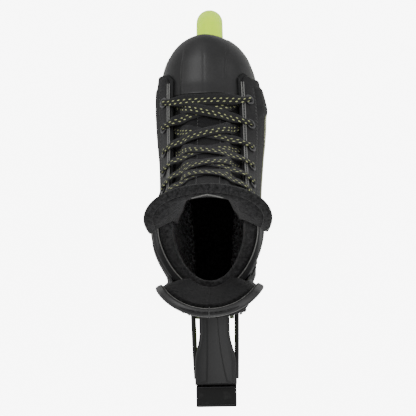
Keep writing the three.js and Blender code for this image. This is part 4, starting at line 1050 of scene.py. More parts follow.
def makeBrakePad():
    # its side view has three grooves across the back and two below; the ends are bevelled
    b = brake
    back = rearAxle - b["reach"]
    front, low, top = back + 37, b["padLift"], b["padTop"]
    line = [(front - 2, low), (front - 12, low), (front - 13, low + 0.9), (front - 14.5, low + 0.9),
            (front - 15.5, low), (back + 12, low), (back + 11, low + 0.9), (back + 9.5, low + 0.9),
            (back + 8.5, low), (back + 5.5, low + 0.5), (back + 0.2, low + 7)]
    for z in (22, 29, 36):
        line += [(back, z), (back + 0.9, z + 0.7), (back + 0.9, z + 1.7), (back, z + 2.4)]
    line += [(back, top - 2), (back + 2, top), (back + 18.8, top), (back + 18.8, 35.4), (front - 9, 35.4),
             (front, 31.5)]
    outline = rounded(np.asarray(line + line[:1], float), 1.4, 4)[:-1]
    piece = plate("brakePad", [outline], -b["padHalf"], b["padHalf"], 1.1)
    finishPiece(piece, paints["rubber"], "skate", ["brake_pad"])
    place = back + 22.5
    rim = [(6.2, 0), (6.2, -0.5), (5.2, -0.5), (5.2, 0), (6.2, 0)]
    washer = turnedPiece("padRecess", rounded(rim, 0.15, 3), (0, place, low + 0.02), "z", 48)
    finishPiece(washer, paints["blackMetal"], "skate")
    head = [(0, 1.3), (2.2, 1.3), (2.2, 0.3), (2.6, 0), (3.9, 0), (5, 1.2), (5, 2.1), (2.5, 2.1), (2.5, 10),
            (0, 10)]
    screw = turnedPiece("brakeScrew", rounded(head, 0.3, 3), (0, place, low + 0.2), "z", 56, hexagon(2.2))
    finishPiece(screw, paints["steel"], "skate", ["brake_screw"])


def makePadEdge():
    # a thin raised line round the pad's top
    b = brake
    back, half = rearAxle - b["reach"], b["padHalf"]
    corners = [(-half + 1.2, back + 2), (half - 1.2, back + 2), (half - 1.2, back + 18),
               (-half + 1.2, back + 18)]
    line = rounded(corners + corners[:1], 1.6, 5)[:-1]
    path = np.concatenate([line, np.full((len(line), 1), float(b["padTop"]))], 1)
    piece = sweepLoop("padEdge", path, np.tile([0, 0, 1.0], (len(path), 1)), disc(0.38, 8))
    finishPiece(piece, paints["shield"], "skate")


makeBrakeHousing()
makeBrakePad()
makePadEdge()
print("heel brake made")


# The boot's sole and toe cap.

def quickPath(points, steps=8):
    # a Catmull-Rom curve through points of any width, so many steps between two of them
    points = np.asarray(points, float)
    at = np.linspace(1, len(points), (len(points) - 1) * steps + 1)
    return np.stack([curveThrough(points[:, k], at) for k in range(points.shape[1])], -1)


def soleHalf(y, side, margin):
    # half the sole's width: the form's own between heel and ball, an ellipse at the toe and an arc at the
    # heel
    t = np.linspace(1, 7, 61)
    line, half = form("backY", t), form("innerLow" if side < 0 else "outerLow", t) + margin
    body = np.interp(y, line[::-1], half[::-1])
    toe = np.clip((y - boot["toeRoot"]) / (boot["toeFront"] - boot["toeRoot"] + margin), 0, 1) ** 1.075
    heel = np.clip((line[-1] - y) / 15, 0, 1)
    return body * np.sqrt(np.maximum(1 - np.maximum(toe, heel) ** 2, 0))


outsole = {"margin": 2.2, "wall": 4.2, "back": -103, "tread": 0.35}


def makeOutsole():
    # its plan is the form's sole with a margin; across it, x = the middle + c times half the width; each
    # edge is round
    margin, wall = outsole["margin"], outsole["wall"]
    low, high = outsole["back"], boot["toeFront"] + margin
    y = mixed(low, high, (1 - np.cos(np.linspace(0, math.pi, 120))) / 2)[:, None]
    c = 2 * bordered(30, 2.1, 90)[None, :] - 1
    y, c = np.broadcast_arrays(y, c)
    skew = boot["toeSkew"] * np.clip((y - boot["toeRoot"]) / (high - boot["toeRoot"]), 0, 1) ** 2
    half = np.where(c < 0, soleHalf(y, -1, margin), soleHalf(y, 1, margin))
    top, under = solePlane(y), solePlane(y) - wall
    middle = np.stack([skew + c * half, y, (top + under) / 2], -1)
    share = edgeShare(middle, wall / 2)
    grooves = 1 - smoothStep(0.3, 0.6, np.abs(((y * 0.25) % 1) - 0.5) * 2)  # one every 4 mm
    tread = outsole["tread"] * grooves * (share > 0.99)
    outer = np.stack([middle[..., 0], y, middle[..., 2] + wall / 2 * share], -1)
    inner = np.stack([middle[..., 0], y, middle[..., 2] - wall / 2 * share + tread], -1)
    piece = shell("outsole", outer, inner)
    finishPiece(piece, paints["sole"], "skate", ["outsole"])


toe = {
    "wall": 3, "leftRidge": -24, "rightRidge": 13, "doubleGap": 3.6, "seam": -4, "panel": 0.8,
    "ridge": 0.45, "fadeFrom": 122, "fadeTo": 138, "bow": 9,
}


def toeRelief(x, y, topside):
    # a raised panel between two lengthwise ridges that bow outwards towards the tip, and a shallow middle
    # seam
    p = toe
    bow = p["bow"] * smoothStep(104, 132, y) ** 2
    left, right = x - (p["leftRidge"] + bow * 0.3), (p["rightRidge"] + bow * 0.2) - x
    fade = (1 - smoothStep(p["fadeFrom"], p["fadeTo"], y)) * topside
    panel = smoothStep(-0.9, 0.9, left) * smoothStep(-0.9, 0.9, right)
    ridges = bell(left, 0.7) + bell(right, 0.7) + 0.8 * bell(right + p["doubleGap"], 0.6)
    return (p["panel"] * panel + p["ridge"] * ridges - 0.3 * bell(x - p["seam"], 0.5)) * fade


def makeToeCap():
    # rows of t from the tip, angles all the way round; outer and inner faces meet at the back edge and at
    # the tip
    p = toe
    towardsEdge = np.array([0.15, 0.3, 0.45, 0.6, 0.75, 0.86, 0.93, 0.97, 1])
    t = np.concatenate([np.linspace(0, 1, 70), 1 + (boot["capEnd"] - 1) * towardsEdge])
    angle = np.linspace(0, 360, 241)[:-1]
    t, angle = np.broadcast_arrays(t[:, None], angle[None, :])
    back = np.clip((boot["capEnd"] - t) * 24 / (p["wall"] / 2), 0, 1)
    share = np.sqrt(1 - (1 - back) ** 2)
    base = bootPoint(t, angle, 0)
    topside = smoothStep(-0.1, 0.35, np.cos(np.radians(angle)))
    lift = toeRelief(base[..., 0], base[..., 1], topside) * share * smoothStep(0.05, 0.3, t)
    outer = onBoot(np.maximum(t, 1e-3), angle, (1 - share) * p["wall"] / 2, lift)
    inner = bootPoint(t, angle, p["wall"] - (1 - share) * p["wall"] / 2)
    rows, columns = outer.shape[:2]
    outer[0], inner[0] = outer[0].mean(0), inner[0].mean(0)
    faces = np.concatenate([gridFaces(rows, columns, closeColumns=True),
                            gridFaces(rows, columns, rows * columns, closeColumns=True)[:, ::-1]])
    # the tip's two poles stay apart by the wall, and the back edges coincide
    piece = tidy(makeMesh("toeCap", np.concatenate([outer.reshape(-1, 3), inner.reshape(-1, 3)]), faces))
    finishPiece(piece, paints["toe"], "skate", ["toe_cap"])


def makeToeRimHighlight():
    # a thin pale cord low on the outer side of the toe: a painted highlight, standing in for the rim of light
    # along the toe cap's edge
    t = np.linspace(0.3, 0.97, 80)
    points = onBoot(t, 86 + 6 * t, 0, 0.2)
    piece = sweep("toeRimHighlight", points, bootNormal(t, 86 + 6 * t, 0), disc(0.55, 10))
    finishPiece(piece, paints["greyPiping"], "skate")


makeOutsole()
makeToeCap()
makeToeRimHighlight()
print("sole and toe cap made")


# Quarters, facings and heel.

lacing = {
    "levels": [1.75, 2.75, 3.8, 4.75, 5.7, 6.6], "setback": 10, "radius": 3, "bore": 2.4, "flange": 4.9,
    "proud": 1.1, "foot": -0.7, "holeClearance": 0.6,
}
flangeTop = boot["stayOut"] - lacing["proud"]
eyeletLength = lacing["foot"] - flangeTop


def eyeletAngle(t, side):
    return side * (throatAngle(t, side) + lacing["setback"])


def eyeletAxis(t, side):
    # a point half way through the layers and the direction out of the boot
    inset = flangeTop + eyeletLength / 2
    angle = eyeletAngle(t, side) % 360
    return bootPoint(t, angle, inset), bootNormal(t, angle, inset)


def onAxis(piece, t, side, height=0.0):
    # turns a piece made round z to an eyelet's axis
    middle, out = eyeletAxis(t, side)
    turn = Vector((0, 0, 1)).rotation_difference(Vector(out)).to_matrix().to_4x4()
    piece.data.transform(Matrix.Translation(Vector(middle + out * height) * millimetre) @ turn)
    return piece


def applied(piece):
    # the piece with its modifiers made part of its mesh
    mesh = bpy.data.meshes.new_from_object(piece.evaluated_get(bpy.context.evaluated_depsgraph_get()))
    piece.modifiers.clear()
    piece.data = mesh
    return piece


def drilled(piece, side):
    # six round holes through the layer, one at each eyelet
    radius = lacing["radius"] + lacing["holeClearance"]
    section = [(0, -7), (radius, -7), (radius, 7), (0, 7)]
    drills = [onAxis(turnedPiece("drill", section, (0, 0, 0), "z", 28), t, side) for t in lacing["levels"]]
    cutter = joined("drills", drills)
    cut = piece.modifiers.new("holes", "BOOLEAN")
    cut.operation, cut.solver, cut.object = "DIFFERENCE", "EXACT", cutter
    applied(piece)
    bpy.data.objects.remove(cutter)
    piece.data.shade_smooth()
    return piece


def spanQ(side, near, far):
    # columns k from near to far of one side as a span of q
    return (near, far) if side > 0 else (14 - far, 14 - near)


quarter = {
    "end": 10.1, "sole": 0.7, "seamDepth": 0.5, "ankle": (7.0, 4.6), "ankleSwell": 1.4, "collarSeam": 8.75,
    "step": 0.35, "pads": 0.6, "fullInner": 1.9, "fullOuter": 2.6, "flare": 6,
}


def seamLine(t):
    # the side seam's column at t: it climbs from near the throat towards the heel
    return 2.7 + 0.28 * np.maximum(t - 2.2, 0)


def quarterRelief(t, q):
    # a raised band along the sole, a stitched seam above it, a padded ankle and a seam that climbs to the
    # collar
    p = quarter
    k = np.minimum(q, 14 - q)
    down = smoothStep(5.05, 5.2, k + 0.12 * np.sin(t * 1.1)) * (1 - smoothStep(6.6, 7.2, t))
    climb = k - seamLine(t)
    seam = bell(climb, 0.035) * smoothStep(1.6, 1.9, t) * (1 - smoothStep(7.0, 7.4, t))
    ankle = np.exp(-((t - p["ankle"][0]) / 0.9) ** 2 - ((k - p["ankle"][1]) / 0.75) ** 2)
    collarSeam = bell(t - p["collarSeam"], 0.045)
    step = smoothStep(0, 0.06, climb) * (1 - smoothStep(7.0, 7.4, t))
    pads = p["pads"] * np.sin(np.clip((t - p["collarSeam"]) / (p["end"] - p["collarSeam"]), 0, 1) * math.pi)
    front = smoothStep(0.9, 1.15, t) * smoothStep(1.6, 2.6, k) * (1 - smoothStep(4.8, 6.2, k))
    full = front * np.where(q > 7, p["fullInner"], p["fullOuter"] * (1 - smoothStep(1.9, 2.35, t)))
    return (p["sole"] * down + p["ankleSwell"] * ankle - p["seamDepth"] * (seam + collarSeam)
            - p["step"] * step + pads
            + full + flare(t, q))


def flare(t, q):
    # the top front corner of the inner side stands out beside the tongue
    k = 14 - q
    along = smoothStep(5.0, 6.4, t) * (1 - smoothStep(7.6, 9.0, t))
    return quarter["flare"] * (q > 7) * along * smoothStep(1.5, 2.1, k) * (1 - smoothStep(2.8, 4.2, k))


def frontEdge(q):
    # the quarter starts as a rounded lobe over the toe cap and draws back towards the sole
    k = np.minimum(q, 14 - q)
    outer = smoothStep(0.6, 2.2, k) * (q < 7)
    return 0.87 + 0.06 * (1 - smoothStep(0, 0.9, k)) + 0.06 * outer + 0.15 * smoothStep(3.2, 5, k)


def stayEdge(q):
    # the facing's front end is round
    k = np.minimum(q, 14 - q)
    return 0.92 + 0.1 * np.abs(k - 1.02) ** 2.5


def surfacePath(t, k, side, inset, lift=0.0):
    # points on the boot for columns k of one side, and the direction out of it
    t, k = np.broadcast_arrays(np.asarray(t, float), np.asarray(k, float))
    q = k if side > 0 else 14 - k
    angle = roundAngle(q, t)
    row = onRim(t, angle)
    return onBoot(row, angle, inset, lift + flare(t, q)), bootNormal(row, angle, inset)


def stitches(name, points, out, paint="thread", length=2.6, space=1.1, radius=0.32):
    # small capsules along a line: each is a ring of six points at five places, fat in the middle
    far = np.concatenate([[0], np.cumsum(np.linalg.norm(np.diff(points, axis=0), axis=1))])
    count = max(int(far[-1] / (length + space)), 2)
    centres = (np.arange(count) + 0.5) * far[-1] / count
    at = lambda s, values: np.stack([np.interp(s, far, values[:, k]) for k in range(3)], -1)
    middle, along = at(centres, points), unit(at(centres + 0.5, points) - at(centres - 0.5, points))
    up = at(centres, out)
    up = unit(up - (up * along).sum(-1, keepdims=True) * along)
    aside = np.cross(along, up)
    u = np.array([-1, -0.82, 0, 0.82, 1])
    fat = np.array([0.02, 0.75, 1, 0.75, 0.02]) * radius
    sink = -0.28 * np.abs(u) ** 3
    a = np.linspace(0, 2 * math.pi, 6, endpoint=False)
    grid = (middle[:, None, None] + along[:, None, None] * (u * length / 2)[None, :, None, None]
            + up[:, None, None] * (fat[:, None] * np.cos(a)[None] + sink[:, None])[None, ..., None]
            + aside[:, None, None] * (fat[:, None] * np.sin(a)[None])[None, ..., None])
    one = gridFaces(5, 6, closeColumns=True)
    caps = np.array([[0, 1, 2, 3], [0, 3, 4, 5], [27, 26, 25, 24], [29, 28, 27, 24]])
    faces = (np.concatenate([one, caps])[None] + (np.arange(count) * 30)[:, None, None]).reshape(-1, 4)
    uv = np.stack([np.broadcast_to(u[None, :, None] * length / 2, grid.shape[:3]),
                   np.broadcast_to(a[None, None] / 3, grid.shape[:3])], -1)
    piece = tidy(makeMesh(name, grid, faces, uv), merge=False)
    return finishPiece(piece, paints[paint], "skate")


def stitchRun(name, t, k, side, inset, lift=0.0, paint="thread", **sizes):
    points, out = surfacePath(t, k, side, inset, lift)
    return stitches(name, points, out, paint, **sizes)


def makeQuarter(side, word):
    # one side of the boot with its facing, both drilled for the eyelets, then pipings and runs of
    # stitches on them
    piece = bootLayer(f"quarter{word}", (frontEdge, quarter["end"]), spanQ(side, 0, 6.995),
                      (boot["quarterOut"], boot["quarterIn"]), (150, 90), quarterRelief, None, True,
                      (330, 200))
    drilled(piece, side)
    finishPiece(piece, paints["leather"], "skate", [f"quarter_{word.lower()}"])
    stay = bootLayer(f"eyestay{word}", (stayEdge, 10.0), spanQ(side, 0.05, 2),
                     (boot["stayOut"], boot["quarterOut"] - 0.3),
                     (170, 20), flare, 0.7, True, (250, 19))
    drilled(stay, side)
    finishPiece(stay, paints["facing"], "skate", [f"eyestay_{word.lower()}"])
    t = np.linspace(0.98, 9.95, 270)
    for number, (k, inset) in enumerate(((0.09, -6.1), (0.36, -6.25))):
        points, out = surfacePath(t, k, side, inset)
        cord = sweep(f"facingPiping{word}{number + 1}", points, out, disc(0.55, 10))
        finishPiece(cord, paints["greyPiping"], "skate")
    stitchRun(f"facingStitch{word}Edge", t[4:-4], 0.22, side, -6.3, paint="greyThread", length=2.2, space=0.9)
    stitchRun(f"facingStitch{word}Outer1", t[4:-4], 1.72, side, -6.3)
    stitchRun(f"facingStitch{word}Outer2", t[4:-4], 1.86, side, -6.3)
    climbT = np.linspace(1.9, 7.0, 200)
    for number, off in enumerate((-0.09, 0.1)):
        place = seamLine(climbT) + off
        stitchRun(f"sideStitch{word}{number + 1}", climbT, place, side, boot["quarterOut"],
                  -0.3 * (number > 0))
    around = np.linspace(2.1, 6.7, 120)
    for number, level in enumerate((8.68, 8.82)):
        stitchRun(f"collarStitch{word}{number + 1}", level + 0 * around, around, side, -4.55, 0.05)
    front = np.linspace(0.2, 5.8, 140)
    stitchRun(f"frontStitch{word}", frontEdge(front) + 0.13, front, side, -4.55, 0.0)


accent = {"from": 2.35, "to": 7.4, "upper": 2.98, "lower": 3.62, "hook": 0.22, "width": 2.2, "height": 1.5}


def makeAccent():
    # the pale trim of the outer side: one cord that runs back from a hook, with a second line below it
    a = accent
    t = np.linspace(a["from"], a["to"], 200)
    upper = a["upper"] - 0.05 * np.sin((t - 2) * 0.6)
    lower = a["lower"] + 0.05 * np.sin((t - 2) * 0.6)
    turn = np.linspace(0, math.pi, 24)
    bendT = a["from"] - a["hook"] * np.sin(turn)
    bendK = mixed(a["lower"], a["upper"], (1 - np.cos(turn)) / 2)
    pathT = np.concatenate([t[::-1][:-1], bendT, t[1:]])
    pathK = np.concatenate([lower[::-1][:-1], bendK, upper[1:]])
    points, out = surfacePath(pathT, pathK, 1, boot["quarterOut"], 0.2)
    piece = sweep("sideTrim", points, out, roundBar(a["width"], a["height"], 14)[:, ::-1])
    finishPiece(piece, paints["creamPiping"], "skate")


heel = {"rows": (7.05, 9.1), "span": (4, 10), "insets": (-6.5, -5.1), "rib": 0.9, "ribs": (7.5, 7.9, 8.3)}


def makeHeel():
    # a moulded counter with three ribs, on the quarters round the heel
    h = heel

    def ribs(t, q):
        k = np.minimum(q, 14 - q)
        return h["rib"] * sum(bell(t - level, 0.09) for level in h["ribs"]) * smoothStep(4.6, 5.2, k)

    piece = bootLayer("heelCounter", h["rows"], h["span"], h["insets"], (70, 110), ribs, 0.7, False,
                      (95, 190))
    finishPiece(piece, paints["sole"], "skate", ["heel_counter"])
    seam = np.linspace(0.05, 0.95, 90)
    for level in (7.14, 9.01):
        for side, word in ((-1, "Inner"), (1, "Outer")):
            stitchRun(f"heelStitch{word}{int(level)}", level + 0 * seam, 4.12 + 2.86 * seam, side, -6.55)


for side, word in ((-1, "Inner"), (1, "Outer")):
    makeQuarter(side, word)
makeAccent()
makeHeel()
print("quarters, facings and heel made")


# The tendon guard.

guard = {
    "low": 9.3, "knee": 11, "spread": 58, "kneeSpread": 43, "height": 293, "drop": 21, "cornerDrop": 12,
    "centre": -62, "half": 48.8, "depth": 43.2, "turn": 62, "outer": -0.6, "wall": 5,
    "grooves": (0.42, 0.58),
}


def guardPoint(v, c, inset):
    # a quadratic curve from the boot's back over a knee to a flared top edge, at c from -1 to 1 across it
    g = guard
    v, c, inset = np.broadcast_arrays(v, c, np.asarray(inset, float))
    angle = 180 + c * g["spread"]
    low = bootPoint(g["low"] + 0 * c, angle, -5.2 - g["wall"] + 0.3 + inset)
    knee = bootPoint(g["knee"] + 0 * c, 180 + c * g["kneeSpread"], -5.7 - g["wall"] + 0.3 + inset)
    a = np.radians(c * g["turn"])
    half = g["half"] - g["outer"] - inset
    high = np.stack([-half * np.sin(a), g["centre"] - (g["depth"] - g["outer"] - inset) * np.cos(a),
                     g["height"] - g["drop"] * np.abs(c) ** 2.6
                     - g["cornerDrop"] * smoothStep(0.8, 1.05, np.abs(c)) ** 1.5], -1)
    w = v[..., None]
    return (1 - w) ** 2 * low + 2 * w * (1 - w) * knee + w * w * high


def makeGuard():
    # the wall between two insets, puffed and grooved outside, leather without and felt within, bound
    # along its top
    g = guard

    def edge(v, inset, c):
        return guardPoint(np.full_like(c, v), c, inset)

    v = bordered(60, 2.5, 105)[:, None]
    c = 2 * bordered(90, 2.5, 130)[None, :] - 1
    v, c = np.broadcast_arrays(v, c)
    middle = guardPoint(v, c, g["wall"] / 2)
    share = edgeShare(middle, g["wall"] / 2)
    puff = 0.9 * np.sin(np.clip(v * 1.02, 0, 1) * math.pi) * (1 - 0.9 * bell(c, 0.018)) - 0.5 * bell(c, 0.012)
    midway = 1 - smoothStep(0.75, 0.9, np.abs(c))
    grooves = 0.6 * sum(bell(v - level, 0.012) for level in g["grooves"]) * midway
    outer = guardPoint(v, c, g["wall"] / 2 * (1 - share) - (puff * 0.5 - grooves) * share)
    inner = guardPoint(v, c, g["wall"] - g["wall"] / 2 * (1 - share) + 0.5 * puff * share)
    piece = shell("tendonGuard", outer, inner, np.stack([c * 6.5, v * 10.5], -1), {"border": 1 - share}, True)
    finishPiece(piece, [paints["leather"], paints["felt"]], "skate", ["tendon_guard"])
    run = np.linspace(-0.995, 0.995, 180)
    top = edge(0.985, g["wall"] / 2, run)
    down = unit(edge(0.93, g["wall"] / 2, run) - top)
    aside = unit(edge(0.985, g["wall"], run) - edge(0.985, 0, run))
    fat = roundBar(g["wall"] + 1.6, 4.6, 20)
    rim = sweep("guardBinding", top + down * 0.8, aside, fat, uvScale=0.1)
    finishPiece(rim, paints["binding"], "skate")
    for name, inset, off in (("guardPipingInner", g["wall"] + 0.7, 0.6), ("guardPipingOuter", -0.6, 1.0)):
        line = edge(0.985, inset, run) + down * off
        finishPiece(sweep(name, line, aside, disc(0.5, 8)), paints["greyPiping"], "skate")
    middle = np.array([0.0])  # the seam climbs the felt, goes over the binding and down the leather
    inside = [edge(0.93, g["wall"] + 1.15, middle)[0], edge(0.985, g["wall"] + 1.2, middle)[0]]
    outside = [edge(0.985, -1.1, middle)[0], edge(0.93, -1.1, middle)[0]]
    line = quickPath(np.array(inside + [top[90] - down[90] * 2.2] + outside), 8)
    finishPiece(sweep("guardSeam", line, np.tile([1.0, 0, 0], (len(line), 1)), disc(0.42, 8)),
                paints["thread"], "skate")
    across = np.linspace(-0.86, 0.86, 120)
    for number, level in enumerate(g["grooves"]):
        out = unit(edge(level, -1.35, across) - edge(level, -0.35, across))
        stitches(f"guardStitch{number + 1}", edge(level + 0.022, -0.35, across), out)


heelPad = {
    "low": 9.45, "lowInset": 8.5, "knee": 11, "kneeInset": 4.6, "top": 0.965, "lowSpread": 32, "wall": 3.6,
}


def makeHeelPad():
    # felt padding inside the guard: a quadratic curve from the collar over the back rim to the guard's
    # edge
    p, wall = heelPad, heelPad["wall"]
    w = bordered(50, wall / 2, 80)[:, None]
    c = 0.95 * (2 * bordered(80, wall / 2, 100)[None, :] - 1)
    w, c = np.broadcast_arrays(w, c)

    def place(inset):
        angle = 180 + c * mixed(p["lowSpread"], guard["kneeSpread"], w)
        low = bootPoint(p["low"] + 0 * c, angle, p["lowInset"] + inset)
        knee = bootPoint(p["knee"] + 0 * c, angle, p["kneeInset"] + inset)
        high = guardPoint(p["top"], c, guard["wall"] - 0.2 + inset)
        f = w[..., None]
        return (1 - f) ** 2 * low + 2 * f * (1 - f) * knee + f * f * high

    share = edgeShare(place(wall / 2), wall / 2)
    puff = 0.8 * np.sin(w * math.pi) * (1 - 0.7 * bell(c, 0.03))
    outer, inner = place((1 - share) * wall / 2), place(wall - (1 - share) * wall / 2 + puff * share)
    piece = shell("heelPad", outer, inner)
    finishPiece(piece, paints["innerFelt"], "skate")


makeGuard()
makeHeelPad()
print("tendon guard made")


# The tongue.

tongue = {
    "start": 1.51, "leave": 9.15, "reach": 26, "height": 298, "drop": 22, "cornerDrop": 14, "depth": 27,
    "half": 52, "turn": 112, "wall": 6, "panel": 10.5, "quilt": 1.15,
}


def tongueInset(t, degrees, side):
    # highest along its middle, sunk under the facings
    share = np.abs(degrees) / (throatAngle(t, side) - 3)
    return mixed(boot["tongueCrown"], boot["tongueSink"], smoothStep(0.45, 1, share))


def tongueLow(t, c, inset):
    # the part on the boot's form, at c from -1 to 1 across it
    side = np.where(c < 0, -1, 1)
    degrees = c * (throatAngle(t, side) + boot["tongueTuck"])
    return bootPoint(t, degrees % 360, tongueInset(t, np.abs(degrees), side) + inset)


def tongueHigh(v, c, inset):
    # from where it leaves the boot's form, on along its own direction and over into the flared top edge
    p = tongue
    low = tongueLow(p["leave"] + 0 * c, c, inset)
    along = unit(low - tongueLow(p["leave"] - 0.3 + 0 * c, c, inset))
    knee = low + along * p["reach"]
    a = np.radians(c * p["turn"])
    high = np.stack([(p["half"] - inset) * np.sin(a), -p["depth"] + (p["depth"] - inset) * np.cos(a),
                     p["height"] - p["drop"] * np.abs(c) ** 1.3 - inset * 0.2
                     - p["cornerDrop"] * smoothStep(0.78, 1.05, np.abs(c)) ** 1.5], -1)
    w = v[..., None]
    return (1 - w) ** 2 * low + 2 * w * (1 - w) * knee + w * w * high


def tongueGrid(t, v, c, inset):
    # rows t on the boot's form, then rows v of the flared part
    cLow, cHigh = (np.broadcast_to(c, (len(s), c.shape[-1])) for s in (t, v))
    rows = len(t)
    low = tongueLow(np.broadcast_to(t[:, None], cLow.shape), cLow, inset[:rows])
    high = tongueHigh(np.broadcast_to(v[:, None], cHigh.shape), cHigh, inset[rows:])
    return np.concatenate([low, high])


def makeTongue():
    # a padded sheet, mesh without and felt within: a flat middle panel between two seams, quilted wings,
    # a bound top
    p = tongue
    rise = np.concatenate([[0, 0.001, 0.003, 0.006, 0.01], np.linspace(0.016, 1, 150)])
    t = mixed(p["start"], p["leave"], rise)
    topRows = 1 - 0.035 * np.array([0.9, 0.7, 0.45, 0.25, 0.1, 0.03, 0])
    v = np.sort(np.concatenate([np.linspace(0, 1, 60)[1:-1], topRows]))
    c = (2 * bordered(90, 3, 120) - 1)[None, :]
    shape = (len(t) + len(v), c.shape[1])
    flat = tongueGrid(t, v, c, np.full(shape, p["wall"] / 2))
    share = edgeShare(flat, p["wall"] / 2)
    x, far = flat[..., 0], np.concatenate([t, p["leave"] + 1.6 * v])[:, None] + 0 * flat[..., 0]
    panel = smoothStep(-0.7, 0.7, p["panel"] - np.abs(x))
    seams = bell(np.abs(x) - p["panel"] - 0.6, 0.7)
    quilt = bell(((far - 2) % p["quilt"]) / p["quilt"] - 0.5, 0.045) * (1 - panel)
    quilt = quilt * smoothStep(p["panel"] + 2, p["panel"] + 5, np.abs(x))
    topBand = bell(far - 10.25, 0.03)
    puff = 0.5 + 0.7 * (1 - panel) * smoothStep(0, 8, np.abs(x) - p["panel"])
    lift = (puff - 0.9 * seams * (far < 10.3) - 0.7 * quilt * (far < 10.1) - 0.5 * topBand) * share
    outer = tongueGrid(t, v, c, p["wall"] / 2 * (1 - share) - lift * 0.8)
    wings = np.abs(np.sin(np.clip(np.abs(c) * 1.9, 0, 1) * math.pi / 2))
    swell = 0.9 * smoothStep(9.3, 10.2, far) * wings * share
    inner = tongueGrid(t, v, c, p["wall"] - p["wall"] / 2 * (1 - share) + swell)
    around = c * 6.5 + 0 * flat[..., 0]
    uv = np.stack([around, farAlong(flat, 0) / 10], -1)
    piece = shell("tongue", outer, inner, uv, {"border": 1 - share}, True)
    finishPiece(piece, [paints["mesh"], paints["felt"]], "skate", ["tongue"])
    rows = np.linspace(2.2, 9.1, 200)
    for side, word in ((-1, "Inner"), (1, "Outer")):
        low = bootPoint(rows, 0 * rows, boot["tongueCrown"])
        low[:, 0] = side * (p["panel"] - 0.9)
        line = low + [0, 0, 0.28]
        stitches(f"tongueStitch{word}", line, bootNormal(rows, 0 * rows, boot["tongueCrown"]))
    run = np.linspace(-0.985, 0.985, 220)
    over = lambda v, inset: tongueHigh(np.full_like(run, v), run, np.full_like(run, inset))
    rim = over(0.992, p["wall"] / 2)
    down = unit(over(0.95, p["wall"] / 2) - rim)
    aside = unit(over(0.99, p["wall"]) - over(0.99, 0.0))
    binding = sweep("tongueBinding", rim + down * 0.5, aside, roundBar(p["wall"] + 1.4, 4.2, 18), uvScale=0.1)
    finishPiece(binding, paints["felt"], "skate")
    notch = np.linspace(-0.2, 0.2, 40)
    line = tongueHigh(0.86 - 0.9 * np.abs(notch), notch, np.full_like(notch, p["wall"] + 0.7))
    edge = sweep("tongueNotchPiping", line, np.tile([0, 0, 1.0], (len(notch), 1)), disc(0.65, 10))
    finishPiece(edge, paints["greyPiping"], "skate")


makeTongue()
print("tongue made")


# Collar, lining and footbed.

collar = {
    "rows": (9.16, 10.06), "span": (1.5, 12.5), "thin": 4.8, "thick": 11, "round": 4.5, "voxel": 2.6,
    "pressure": 4.0, "furthest": 1.4, "frames": 20,
}


def swollen(piece, soft):
    # an even remesh, blown up a little as cloth, each point going no further than the furthest allowed,
    # then smoothed
    remesh = piece.modifiers.new("even", "REMESH")
    remesh.mode, remesh.voxel_size = "VOXEL", soft["voxel"] * millimetre
    applied(piece)
    rest = pointsOf(piece.data)
    cloth = piece.modifiers.new("cloth", "CLOTH")
    cloth.settings.quality = 6
    cloth.settings.use_pressure = True
    cloth.settings.uniform_pressure_force = soft["pressure"]
    cloth.settings.effector_weights.gravity = 0
    cloth.point_cache.frame_start, cloth.point_cache.frame_end = 1, soft["frames"]
    for number in range(1, soft["frames"] + 1):
        bpy.context.scene.frame_set(number)
    applied(piece)
    bpy.context.scene.frame_set(1)
    move = pointsOf(piece.data) - rest
    size = np.linalg.norm(move, axis=1, keepdims=True)
    move *= np.minimum(1, soft["furthest"] * millimetre / np.maximum(size, 1e-9))
    setPoints(piece.data, rest + move)
    smooth = piece.modifiers.new("smooth", "SUBSURF")
    smooth.levels = smooth.render_levels = 1
    applied(piece)
    piece.data.shade_smooth()
    return piece


def makeCollar():
    # a padded roll round the rim behind the tongue, from the lining up, thicker towards its top
    p = collar
    t = mixed(*p["rows"], bordered(26, 2, 17))[:, None]
    q = mixed(*p["span"], bordered(150, 3, 260))[None, :]
    t, q = np.broadcast_arrays(t, q)
    angle = roundAngle(q, t)
    row = onRim(t, angle)
    thick = mixed(p["thin"], p["thick"], smoothStep(9.1, 9.6, t))
    middle = bootPoint(row, angle, thick / 2)
    share = edgeShare(middle, p["round"])
    outer = bootPoint(row, angle, 0.2 + (1 - share) * thick / 2)
    inner = bootPoint(row, angle, thick - (1 - share) * thick / 2)
    piece = swollen(shell("collar", outer, inner), p)
    finishPiece(piece, paints["collarFelt"], "skate", ["collar"])
    k = np.linspace(2.0, 6.9, 160)
    rim = quarter["end"] + 0 * k
    for side, word in ((-1, "Inner"), (1, "Outer")):
        points, out = surfacePath(rim, k, side, -2.4)
        binding = sweep(f"collarBinding{word}", points + [0, 0, 0.1], out, roundBar(5.4, 3.6, 18),
                        uvScale=0.1)
        finishPiece(binding, paints["binding"], "skate")
        for number, (inset, high) in enumerate(((0.2, 1.5), (-4.5, 1.1))):
            points, out = surfacePath(rim, k, side, inset)
            cord = sweep(f"collarPiping{word}{number + 1}", points + [0, 0, high], out, disc(0.5, 10))
            finishPiece(cord, paints["greyPiping"], "skate")


lining = {"rows": (1.51, 9.1), "span": (2, 12), "insets": (0, 5), "round": 2.2}


def makeLining():
    # the boot's whole inside below the collar, as one layer with round borders
    p = lining
    piece = bootLayer("lining", p["rows"], p["span"], p["insets"], (110, 110), None, p["round"], False,
                      (250, 330))
    finishPiece(piece, paints["lining"], "skate", ["lining"])


footbed = {"back": -81, "front": 132, "rows": (1.1, 6.2), "lift": 14.6, "halfWall": 1.9, "cup": 0.9}


